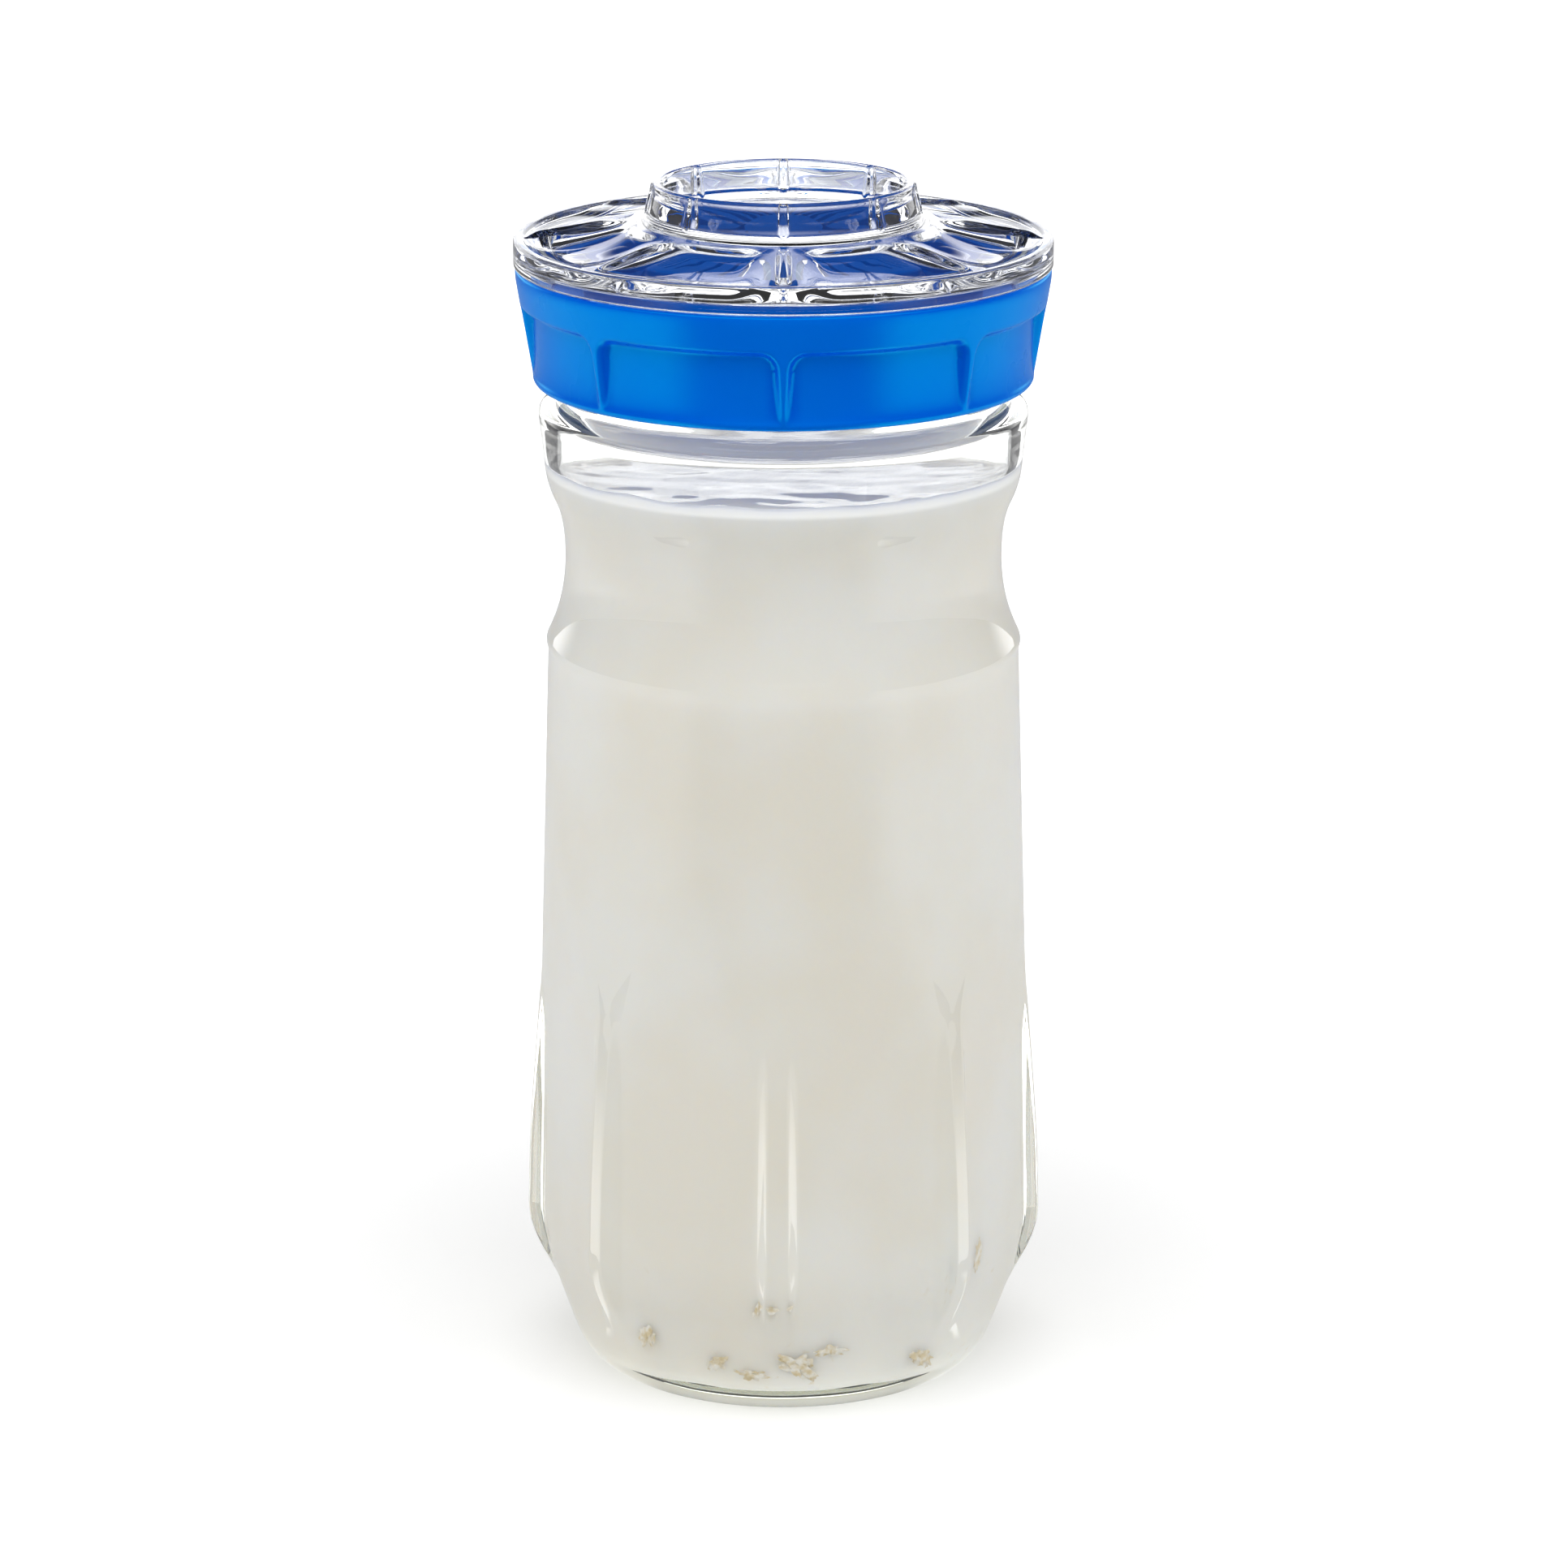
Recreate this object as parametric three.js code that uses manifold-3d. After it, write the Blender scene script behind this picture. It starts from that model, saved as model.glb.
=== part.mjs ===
// Fermentation jar: a ribbed glass jar of kefir under a screw collar, a strainer and a clear cap.
// Millimetres, +Z up. The origin is the middle of the foot, and the lid's front rib faces -Y.
import * as THREE from 'three';
import { mergeVertices } from 'three/addons/utils/BufferGeometryUtils.js';
import Module from 'manifold-3d';

// Shared sizes
const RIBS = 8; // ribs on the jar, the collar and the cap alike
const GAP = 0.3; // clearance between pieces that touch
const ARC_STEPS = 3; // straight pieces in each curved stretch that shows
const HIDDEN_STEPS = 2; // and in each one that doesn't
const ROUND_STEPS = 40; // straight pieces round a plain ring

// Glass jar, outside
const JAR_TURN = -1.4; // degrees between the jar's ribs and the lid's
const FOOT = { inner: 25, outer: 31, slope: 7, pushUp: 1.8 }; // flat ring, and the slope to the raised base
const HEEL = { r: 37.4, rise: 6 }; // where the foot and the chamfer would meet, and the rounding over it
const CHAMFER_LEAN = 23; // degrees from upright
const CORNER = { r: 47.5, z: 24.5, reach: 5.5 }; // where chamfer and body meet, rounded over reach
const BODY_TOP = { r: 44.3, z: 140 };
const BODY_TAPER = 0.03; // radius lost per millimetre of height
const RIDGE = { lowR: 44.6, low: 141.6, highR: 44.3, high: 143.2 };
const WAIST = { r: 40.9, z: 158.7, reach: 8.5 };
const BULGE = { r: 44.5, low: 174.5, high: 180, reach: 7 };
const BEAD = { r: 45.8, low: 183, high: 186 };
const SHOULDER = { r: 44.6, z: 189.2 };
const NECK = { r: 41, base: 190.9 };
const MOUTH_Z = 205;
const LIP = 0.9; // edge break round the mouth
const FACET = { top: 96, full: 72, foot: 24, gone: 5, depth: 0.068 }; // heights, and a share of the radius
const RIB = { top: 86, fullTop: 38, fullFoot: 28, gone: 11, proud: 1.6, crest: 2.2, base: 3.9 }; // degrees
const BODY_STEP = 9; // height of the rings that carry facets and ribs

// Glass jar, inside
const FLOOR = { z: 5.4, r: 30, bendR: 34.6, wallR: 36.4, wallZ: 9.2 };
const INNER_CORNER = { r: 40.8, z: 25, footR: 38.8, footZ: 20, topZ: 31 };
const INNER_BODY = { r: 41.4, z: 92 };
const WALL = 3;
const MOUTH_RADIUS = 38;
const FILL_LEVEL = 176;
const FILL_GAP = 0.4; // between the kefir and the glass

// Screw thread
const THREAD = { lead: 6, steps: 30, startZ: 195.2, fade: 0.08, least: 0.1, buried: 0.8 };
const JAR_THREAD = { root: NECK.r, crest: 43, rootHalf: 1.5, crestHalf: 0.7 };
const COLLAR_THREAD = { root: 43.6, crest: 41.7, rootHalf: 1.2, crestHalf: 0.6, drop: 2.2 };

// Kefir grains: degrees from the front, height, and length
const GRAINS = [
  { turn: 4, z: 12.6, length: 6.5 },
  { turn: -39, z: 15.4, length: 4.6 },
  { turn: -16, z: 11.8, length: 4 },
  { turn: 14, z: 14.2, length: 4.2 },
  { turn: 43, z: 10.2, length: 5.4 },
  { turn: 59, z: 28, length: 4.4 },
  { turn: -2, z: 24.3, length: 3.4 },
  { turn: -7.5, z: 9.4, length: 4 },
];
const GRAIN = { thick: 0.62, high: 0.7, depth: 0.35, bump: 0.16, spin: 47 }; // shares of length, and degrees

// Gasket and collar
const GASKET = { inner: 38.4, outer: 42.8, thick: 1.9 };
const COLLAR = { bottom: 191.7, lowR: 46.7, round: 1.6, ledge: 206.6, top: 213.3, topR: 49.7, seatR: 47.3 };
const COLLAR_LIP = { high: 1.7, edge: 0.4 }; // upright stretch at the top, and its edge break
const COLLAR_ROWS = [-10, -7, -4, -1.6, -0.6, 0.4]; // heights of the rings under and over the ledge
const COLLAR_WEB = { low: 207.5, high: 209.1, r: 38.2 };
const COLLAR_RIB = { sink: 2, fade: 1.4, crest: 1.2, base: 3.2, flare: 11, spread: 6 }; // widths in degrees

// Strainer
const STRAINER = { flangeR: 42.9, flangeTop: 210.9, dishR: 37.4, dishFloor: 203, wall: 1.4, round: 0.8 };
const PLATEAU = { r: 28, top: 211.3 };
const SLOTS = { count: 32, inner: 12, outer: 25, width: 1.1 };

// Clear cap and its seal
const CAP = { r: 50, rimLow: 213.6, rimTop: 218.4, round: 1, skirtOut: 46.3, skirtIn: 43.4, skirtLow: 209.7 };
const CAP_EDGE = 0.4; // edge break under the rim
const CAP_DECK = { outer: 47.4, inner: 28.4, rise: 3.2, sink: 1.9 };
const DECK_ROWS = [0, 0.06, 0.3, 0.6, 0.85]; // shares of the way in over the deck
const CAP_CEILING = { rimZ: 215.2, slopeZ: 218.2, middleZ: 219.6, middleR: 24, round: 0.8 };
const CAP_RING = { r: 25.4, inner: 22.6, top: 229, floor: 222, flare: 2.6, edge: 0.9, bend: 1.2, rib: 0.5 };
const CAP_RIDGE = { proud: 0.9, base: 2.6, panel: 12 }; // widths in degrees from the ridge's line
const GROOVE = { low: 210.5, high: 212.9, r: 44.9 };

const SECTOR = 360 / RIBS;
const radians = THREE.MathUtils.degToRad;
const { smoothstep, lerp, clamp } = THREE.MathUtils;

const wasm = await Module();
wasm.setup();

// Solids

function toSolid(geometry) {
  const bare = new THREE.BufferGeometry();
  bare.setAttribute('position', geometry.getAttribute('position').clone());
  bare.setIndex(geometry.index);
  const merged = mergeVertices(bare, 1e-4);
  const mesh = new wasm.Mesh({
    numProp: 3,
    vertProperties: merged.getAttribute('position').array,
    triVerts: new Uint32Array(merged.index.array),
  });
  return new wasm.Manifold(mesh);
}

function toGeometry(solid) {
  const mesh = solid.getMesh();
  const geometry = new THREE.BufferGeometry();
  geometry.setAttribute('position', new THREE.BufferAttribute(mesh.vertProperties, 3));
  geometry.setIndex(new THREE.BufferAttribute(mesh.triVerts, 1));
  geometry.computeVertexNormals();
  return geometry;
}

// Turning

// Column angles for a ribbed piece: the offsets from each rib, then even steps across the panel after it.
function ribbedColumns(offsets, inPanel) {
  const angles = [];
  const [first, last] = [offsets[0] + SECTOR, offsets.at(-1)];
  for (let rib = 0; rib < RIBS; rib++) {
    offsets.forEach((offset) => angles.push(rib * SECTOR + offset));
    for (let step = 1; step <= inPanel; step++) {
      angles.push(rib * SECTOR + lerp(last, first, step / (inPanel + 1)));
    }
  }
  return angles;
}

function evenColumns(count) {
  return Array.from({ length: count }, (_, i) => (i * 360) / count);
}

// Degrees from the nearest rib.
function fromRib(angle) {
  return Math.abs(angle - SECTOR * Math.round(angle / SECTOR));
}

// Turns an outline of (radius, height) points about +Z. Angle 0 is the front, and angles grow towards +X.
// reshape, where given, takes a point, its angle and its row, and returns the point moved for that angle.
function turned(outline, angles, reshape = (point) => point) {
  const geometry = new THREE.LatheGeometry(outline, angles.length);
  const position = geometry.getAttribute('position');
  for (let i = 0; i < position.count; i++) {
    const column = Math.floor(i / outline.length);
    const row = i % outline.length;
    const angle = angles[column % angles.length];
    const point = reshape(outline[row], angle, row);
    const turn = radians(angle);
    position.setXYZ(i, point.x * Math.sin(turn), -point.x * Math.cos(turn), point.y);
  }
  return geometry;
}

// A thread: a straight bar whose section is (radius, height), wrapped into one climbing turn with faded ends.
function threadRidge(thread, startZ) {
  const outwards = Math.sign(thread.crest - thread.root);
  const buriedRoot = thread.root - outwards * THREAD.buried;
  const section = new THREE.Shape();
  section.moveTo(buriedRoot, -thread.rootHalf);
  section.lineTo(thread.crest, -thread.crestHalf);
  section.lineTo(thread.crest, thread.crestHalf);
  section.lineTo(buriedRoot, thread.rootHalf);
  const bar = new THREE.ExtrudeGeometry(section, { depth: 1, steps: THREAD.steps, bevelEnabled: false });
  const position = bar.getAttribute('position');
  for (let i = 0; i < position.count; i++) {
    const along = 1 - position.getZ(i);
    const fade = clamp(Math.min(along, 1 - along) / THREAD.fade, THREAD.least, 1);
    const radius = lerp(buriedRoot, position.getX(i), fade);
    const turn = along * 2 * Math.PI;
    const z = startZ + position.getY(i) + along * THREAD.lead;
    position.setXYZ(i, radius * Math.sin(turn), -radius * Math.cos(turn), z);
  }
  return bar;
}

// Glass jar

// The inside of the glass, from the middle of the floor up to the kefir's level.
function insideOutline(inset) {
  const path = new THREE.Path();
  const cornerR = INNER_CORNER.r - inset;
  const waistR = WAIST.r - WALL - inset;
  path.moveTo(0, FLOOR.z + inset);
  path.lineTo(FLOOR.r, FLOOR.z + inset);
  path.quadraticCurveTo(FLOOR.bendR - inset, FLOOR.z + inset, FLOOR.wallR - inset, FLOOR.wallZ);
  path.lineTo(INNER_CORNER.footR - inset, INNER_CORNER.footZ);
  path.quadraticCurveTo(cornerR, INNER_CORNER.z, cornerR, INNER_CORNER.topZ);
  path.lineTo(INNER_BODY.r - inset, INNER_BODY.z);
  path.lineTo(BODY_TOP.r - WALL - inset, BODY_TOP.z);
  path.quadraticCurveTo(waistR, WAIST.z - WAIST.reach, waistR, WAIST.z);
  path.quadraticCurveTo(waistR, WAIST.z + WAIST.reach, BULGE.r - WALL - inset, FILL_LEVEL);
  return path.getPoints(HIDDEN_STEPS);
}

// The outside of the glass, from the middle of the base up to the lip, as it would be with no facets or ribs.
function outsideOutline() {
  const path = new THREE.Path();
  const lean = Math.tan(radians(CHAMFER_LEAN));
  const bodyBase = CORNER.z + CORNER.reach;
  path.moveTo(0, FOOT.pushUp);
  path.lineTo(FOOT.inner - FOOT.slope, FOOT.pushUp);
  path.lineTo(FOOT.inner, 0);
  path.lineTo(FOOT.outer, 0);
  path.quadraticCurveTo(HEEL.r, 0, HEEL.r + HEEL.rise * lean, HEEL.rise);
  path.lineTo(CORNER.r - CORNER.reach * lean, CORNER.z - CORNER.reach);
  path.quadraticCurveTo(CORNER.r, CORNER.z, bodyRadius(bodyBase), bodyBase);
  for (let z = bodyBase + BODY_STEP; z < FACET.top + BODY_STEP; z += BODY_STEP) {
    path.lineTo(bodyRadius(z), z);
  }
  path.lineTo(BODY_TOP.r, BODY_TOP.z);
  path.lineTo(RIDGE.lowR, RIDGE.low);
  path.lineTo(RIDGE.highR, RIDGE.high);
  path.quadraticCurveTo(WAIST.r, WAIST.z - WAIST.reach, WAIST.r, WAIST.z);
  path.bezierCurveTo(WAIST.r, WAIST.z + WAIST.reach, BULGE.r, BULGE.low - BULGE.reach, BULGE.r, BULGE.low);
  path.lineTo(BULGE.r, BULGE.high);
  path.quadraticCurveTo(BULGE.r, BEAD.low, BEAD.r, BEAD.low);
  path.lineTo(BEAD.r, BEAD.high);
  path.lineTo(SHOULDER.r, SHOULDER.z);
  path.quadraticCurveTo(NECK.r, SHOULDER.z, NECK.r, NECK.base);
  path.lineTo(NECK.r, MOUTH_Z - LIP);
  path.lineTo(NECK.r - LIP, MOUTH_Z);
  path.lineTo(MOUTH_RADIUS + LIP, MOUTH_Z);
  path.lineTo(MOUTH_RADIUS, MOUTH_Z - LIP);
  return path.getPoints(ARC_STEPS);
}

function bodyRadius(z) {
  return BODY_TOP.r + (BODY_TOP.z - z) * BODY_TAPER;
}

// Cuts the round body to flat facets between the ribs, and stands the ribs on the corners.
function facetedPoint(point, angle) {
  const away = fromRib(angle);
  const z = point.y;
  const cut = (1 - smoothstep(z, FACET.full, FACET.top)) * smoothstep(z, FACET.gone, FACET.foot);
  const apothem = point.x * (1 - FACET.depth * cut);
  const flat = Math.min(point.x, apothem / Math.cos(radians(SECTOR / 2 - away)));
  const height = (1 - smoothstep(z, RIB.fullTop, RIB.top)) * smoothstep(z, RIB.gone, RIB.fullFoot);
  const across = clamp((RIB.base - away) / (RIB.base - RIB.crest), 0, 1);
  const ribbed = lerp(flat, point.x + RIB.proud * height, across * Math.sign(height));
  return new THREE.Vector2(ribbed, z);
}

function glassJar() {
  const outside = outsideOutline();
  const neckInside = [
    new THREE.Vector2(MOUTH_RADIUS, SHOULDER.z),
    new THREE.Vector2(BULGE.r - WALL, BEAD.low),
  ];
  const outline = [...outside, ...neckInside, ...insideOutline(0).reverse()];
  const reshape = (point, angle, row) => (row < outside.length ? facetedPoint(point, angle) : point);
  const columns = ribbedColumns([-RIB.base, -RIB.crest, RIB.crest, RIB.base], 2);
  const wall = toSolid(turned(outline, columns, reshape));
  const thread = toSolid(threadRidge(JAR_THREAD, THREAD.startZ));
  return wall.add(thread);
}

// Kefir and its grains

function kefirSolid() {
  const side = insideOutline(FILL_GAP);
  return toSolid(turned([...side, new THREE.Vector2(0, FILL_LEVEL)], evenColumns(ROUND_STEPS)));
}

// The radius of the glass's inside at a height near its floor.
function insideRadius(z) {
  const side = insideOutline(0);
  const above = side.findIndex((point) => point.y > z);
  const [low, high] = [side[above - 1], side[above]];
  return lerp(low.x, high.x, (z - low.y) / (high.y - low.y));
}

// A lumpy grain, flattened where it lies against the glass. grow widens it all round.
function grainSolid(grain, index, grow) {
  const lump = new THREE.IcosahedronGeometry(1, 1);
  const position = lump.getAttribute('position');
  const point = new THREE.Vector3();
  for (let i = 0; i < position.count; i++) {
    point.fromBufferAttribute(position, i);
    const bumps = 1 + GRAIN.bump * Math.sin(4 * point.x + 2 * index) * Math.cos(5 * point.z + index);
    position.setXYZ(i, point.x * bumps, point.y * bumps, point.z * bumps);
  }
  const long = grain.length / 2 + grow;
  const thick = (GRAIN.thick * grain.length) / 2 + grow;
  lump.scale(long, thick, GRAIN.high * long);
  lump.rotateY(radians(GRAIN.spin * index));
  lump.translate(0, -(insideRadius(grain.z) - GRAIN.depth * grain.length), grain.z);
  lump.rotateZ(radians(grain.turn));
  return toSolid(lump);
}

// Gasket, collar and strainer

function ring(inner, outer, low, high) {
  const corners = [[outer, low], [outer, high], [inner, high], [inner, low], [outer, low]];
  const outline = corners.map(([r, z]) => new THREE.Vector2(r, z));
  return turned(outline, evenColumns(ROUND_STEPS));
}

// The collar's outside flares steadily from its rounded foot to its lip.
function collarRadius(z) {
  const low = COLLAR.bottom + COLLAR.round;
  return lerp(COLLAR.lowR, COLLAR.topR, (z - low) / (COLLAR.top - COLLAR_LIP.high - low));
}

// Sinks the panels under the flared band, leaving a rib between them that narrows downwards.
function collarPoint(point, angle) {
  const away = fromRib(angle);
  const z = point.y;
  const low = COLLAR.bottom + COLLAR.round;
  const up = clamp((z - low) / (COLLAR.ledge - COLLAR_RIB.fade - low), 0, 1);
  const under = 1 - smoothstep(z, COLLAR.ledge - COLLAR_RIB.fade, COLLAR.ledge + COLLAR_LIP.edge);
  const ribHalf = lerp(COLLAR_RIB.crest, COLLAR_RIB.flare, up ** COLLAR_RIB.spread);
  const panel = smoothstep(away, COLLAR_RIB.crest, Math.max(ribHalf, COLLAR_RIB.base));
  return new THREE.Vector2(point.x - COLLAR_RIB.sink * up * under * panel, z);
}

function screwCollar() {
  const { bottom, top, topR, lowR, round, ledge, seatR } = COLLAR;
  const path = new THREE.Path();
  path.moveTo(COLLAR_THREAD.root, bottom);
  path.lineTo(lowR - round, bottom);
  path.quadraticCurveTo(lowR, bottom, lowR, bottom + round);
  COLLAR_ROWS.forEach((row) => path.lineTo(collarRadius(ledge + row), ledge + row));
  path.lineTo(topR, top - COLLAR_LIP.high);
  path.lineTo(topR, top - COLLAR_LIP.edge);
  path.lineTo(topR - COLLAR_LIP.edge, top);
  path.lineTo(seatR, top);
  const outsideRows = path.getPoints(HIDDEN_STEPS).length - 1;
  path.lineTo(seatR, COLLAR_WEB.high);
  path.lineTo(COLLAR_WEB.r, COLLAR_WEB.high);
  path.lineTo(COLLAR_WEB.r, COLLAR_WEB.low);
  path.lineTo(COLLAR_THREAD.root, COLLAR_WEB.low);
  path.lineTo(COLLAR_THREAD.root, bottom);
  const outline = path.getPoints(HIDDEN_STEPS);
  const reshape = (point, angle, row) => (row > 0 && row < outsideRows ? collarPoint(point, angle) : point);
  const { crest, base, flare } = COLLAR_RIB;
  const columns = ribbedColumns([-flare, -base, -crest, crest, base, flare], 1);
  const wall = toSolid(turned(outline, columns, reshape));
  const thread = toSolid(threadRidge(COLLAR_THREAD, THREAD.startZ - COLLAR_THREAD.drop));
  return wall.add(thread);
}

function strainerSolid() {
  const { flangeR, flangeTop, dishR, dishFloor, wall, round } = STRAINER;
  const flangeLow = COLLAR_WEB.high + GAP;
  const moatFloor = dishFloor + wall;
  const moatR = dishR - wall;
  const corners = [
    [0, PLATEAU.top - wall],
    [PLATEAU.r - 2 * wall, PLATEAU.top - wall],
    [PLATEAU.r - wall, dishFloor],
    [dishR - round, dishFloor],
    [dishR, dishFloor + round],
    [dishR, flangeLow],
    [flangeR, flangeLow],
    [flangeR, flangeTop],
    [moatR + round, flangeTop],
    [moatR, moatFloor + round],
    [moatR - round, moatFloor],
    [PLATEAU.r + round, moatFloor],
    [PLATEAU.r, PLATEAU.top - round],
    [PLATEAU.r - round, PLATEAU.top],
    [0, PLATEAU.top],
  ];
  const outline = corners.map(([r, z]) => new THREE.Vector2(r, z));
  let dish = toSolid(turned(outline, evenColumns(ROUND_STEPS)));
  for (let i = 0; i < SLOTS.count; i++) {
    const slot = new THREE.BoxGeometry(SLOTS.width, SLOTS.outer - SLOTS.inner, 4 * wall);
    slot.translate(0, -(SLOTS.inner + SLOTS.outer) / 2, PLATEAU.top);
    slot.rotateZ(((i + 0.5) * 2 * Math.PI) / SLOTS.count);
    dish = dish.subtract(toSolid(slot));
  }
  return dish;
}

// Clear cap

// The height of the cap's deck along a ridge.
function deckHeight(r) {
  return CAP.rimTop + (CAP_DECK.rise * (CAP_DECK.outer - r)) / (CAP_DECK.outer - CAP_DECK.inner);
}

// Hollows the deck between the ridges, raises the ridges, and stands a small rib on the ring at each of them.
function cappedPoint(point, angle) {
  const away = fromRib(angle);
  const between = clamp((CAP_DECK.outer - point.x) / (CAP_DECK.outer - CAP_DECK.inner), 0, 1);
  const onDeck = point.y < CAP_RING.floor && point.y >= CAP.rimTop && point.x > CAP_RING.r;
  const sink = CAP_DECK.sink * Math.sqrt(Math.sin(between * Math.PI)) * smoothstep(away, 0, CAP_RIDGE.panel);
  const ridge = CAP_RIDGE.proud * (1 - smoothstep(away, 0, CAP_RIDGE.base)) * (1 - between);
  const onRing = point.y > CAP_RING.floor && point.y < CAP_RING.top;
  const side = point.x > (CAP_RING.r + CAP_RING.inner) / 2 ? 1 : -1;
  const ribbed = onRing && away === 0 ? CAP_RING.rib * side : 0;
  return new THREE.Vector2(point.x + ribbed, point.y + (onDeck ? ridge - sink : 0));
}

function clearCap() {
  const { r, rimLow, rimTop, round, skirtOut, skirtIn, skirtLow } = CAP;
  const ceiling = CAP_CEILING;
  const crown = CAP_RING;
  const path = new THREE.Path();
  path.moveTo(0, ceiling.middleZ);
  path.lineTo(ceiling.middleR, ceiling.middleZ);
  path.lineTo(CAP_DECK.inner, ceiling.slopeZ);
  path.lineTo(skirtIn - ceiling.round, ceiling.rimZ);
  path.lineTo(skirtIn, ceiling.rimZ - ceiling.round);
  path.lineTo(skirtIn, skirtLow);
  path.lineTo(skirtOut, skirtLow);
  path.lineTo(skirtOut, GROOVE.low);
  path.lineTo(GROOVE.r, GROOVE.low);
  path.lineTo(GROOVE.r, GROOVE.high);
  path.lineTo(skirtOut, GROOVE.high);
  path.lineTo(skirtOut, rimLow);
  path.lineTo(r - CAP_EDGE, rimLow);
  path.lineTo(r, rimLow + CAP_EDGE);
  path.lineTo(r, rimTop - round);
  path.quadraticCurveTo(r, rimTop, r - round, rimTop);
  const deckStart = path.getPoints(HIDDEN_STEPS).length - 1;
  DECK_ROWS.forEach((share) => {
    const rowR = lerp(CAP_DECK.outer, CAP_DECK.inner, share);
    path.lineTo(rowR, deckHeight(rowR));
  });
  path.quadraticCurveTo(crown.r, crown.floor, crown.r, crown.floor + crown.flare);
  path.lineTo(crown.r, crown.top - crown.edge);
  path.quadraticCurveTo(crown.r, crown.top, crown.r - crown.edge, crown.top);
  path.lineTo(crown.inner + crown.edge, crown.top);
  path.quadraticCurveTo(crown.inner, crown.top, crown.inner, crown.top - crown.edge);
  path.lineTo(crown.inner, crown.floor + crown.bend);
  path.lineTo(crown.inner - crown.bend, crown.floor);
  path.lineTo(0, crown.floor);
  const outline = path.getPoints(HIDDEN_STEPS);
  const reshape = (point, angle, row) => (row >= deckStart ? cappedPoint(point, angle) : point);
  const { base, panel } = CAP_RIDGE;
  return turned(outline, ribbedColumns([-panel, -base, 0, base, panel], 1), reshape);
}

// Finishes

function finish(color, roughness, opacity = 1) {
  return new THREE.MeshStandardMaterial({
    color,
    roughness,
    metalness: 0,
    opacity,
    transparent: opacity < 1,
  });
}

const glass = finish(0xe6eeec, 0.04, 0.3);
const kefir = finish(0xdedad3, 0.45);
const grainTan = finish(0xb59b6a, 0.6);
const bluePlastic = finish(0x0078dc, 0.22);
const clearPlastic = finish(0xf2f6f8, 0.05, 0.3);
const silicone = finish(0xe9ecec, 0.6);

// Assembly

function piece(name, geometry, material) {
  const mesh = new THREE.Mesh(geometry, material);
  mesh.name = name;
  return mesh;
}

const jar = new THREE.Group();
jar.rotation.z = radians(JAR_TURN);
const wholeKefir = kefirSolid();
let kefirBody = wholeKefir;
GRAINS.forEach((grain, index) => {
  const lump = grainSolid(grain, index, 0).intersect(wholeKefir);
  kefirBody = kefirBody.subtract(grainSolid(grain, index, GAP));
  jar.add(piece(`kefir_grain_${index + 1}`, toGeometry(lump), grainTan));
});
jar.add(piece('glass_jar', toGeometry(glassJar()), glass));
jar.add(piece('kefir_fill', toGeometry(kefirBody), kefir));

const lid = new THREE.Group();
const gasketLow = MOUTH_Z + GAP;
const gasket = ring(GASKET.inner, GASKET.outer, gasketLow, gasketLow + GASKET.thick);
const capSeal = ring(GROOVE.r + GAP, CAP.skirtOut + GAP, GROOVE.low + GAP, GROOVE.high - GAP);
lid.add(piece('jar_gasket', gasket, silicone));
lid.add(piece('screw_collar', toGeometry(screwCollar()), bluePlastic));
lid.add(piece('strainer', toGeometry(strainerSolid()), bluePlastic));
lid.add(piece('cap_seal', capSeal, silicone));
lid.add(piece('clear_cap', clearCap(), clearPlastic));

const fermentationJar = new THREE.Group();
fermentationJar.add(jar, lid);

export default fermentationJar;
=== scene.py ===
"""A ribbed glass jar of kefir under a screw collar, a strainer and a clear cap, dressed over its frame.

Sizes in the outlines are millimetres, as (radius, height). Blender's own sizes are metres.
"""

import math

import bmesh
import bpy
from bpy.props import FloatProperty, FloatVectorProperty, IntProperty, PointerProperty
from mathutils import Matrix, Vector, noise
from mathutils.geometry import interpolate_bezier


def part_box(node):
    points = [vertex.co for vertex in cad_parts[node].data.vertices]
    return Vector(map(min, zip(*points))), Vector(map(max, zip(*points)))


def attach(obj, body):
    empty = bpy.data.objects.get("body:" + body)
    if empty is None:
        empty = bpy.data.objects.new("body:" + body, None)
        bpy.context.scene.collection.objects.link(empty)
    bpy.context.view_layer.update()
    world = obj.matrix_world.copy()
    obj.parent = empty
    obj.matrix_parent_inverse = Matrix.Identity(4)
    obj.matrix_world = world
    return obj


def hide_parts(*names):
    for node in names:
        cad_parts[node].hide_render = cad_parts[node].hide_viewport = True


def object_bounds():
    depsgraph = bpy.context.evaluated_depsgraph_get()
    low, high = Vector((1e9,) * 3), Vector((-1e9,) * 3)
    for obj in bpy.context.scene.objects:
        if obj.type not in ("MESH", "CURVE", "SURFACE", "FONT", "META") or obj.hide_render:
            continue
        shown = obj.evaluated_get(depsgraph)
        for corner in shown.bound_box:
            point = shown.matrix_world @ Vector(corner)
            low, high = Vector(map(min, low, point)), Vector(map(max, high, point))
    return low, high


bl_info = {
    "name": "Fermentation Jar",
    "version": (1, 0, 0),
    "blender": (4, 5, 0),
    "location": "View3D > Sidebar > Jar",
    "description": "Builds a ribbed glass jar of kefir with a screw collar, a strainer and a clear cap",
    "category": "Add Mesh",
}

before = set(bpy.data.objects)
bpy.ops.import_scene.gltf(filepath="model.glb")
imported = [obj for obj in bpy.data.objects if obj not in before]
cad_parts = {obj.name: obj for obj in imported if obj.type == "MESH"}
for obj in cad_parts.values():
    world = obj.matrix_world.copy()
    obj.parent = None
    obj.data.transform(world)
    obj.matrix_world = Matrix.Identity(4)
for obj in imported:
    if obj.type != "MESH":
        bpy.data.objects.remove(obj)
CAD_LOW, CAD_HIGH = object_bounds()

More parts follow.
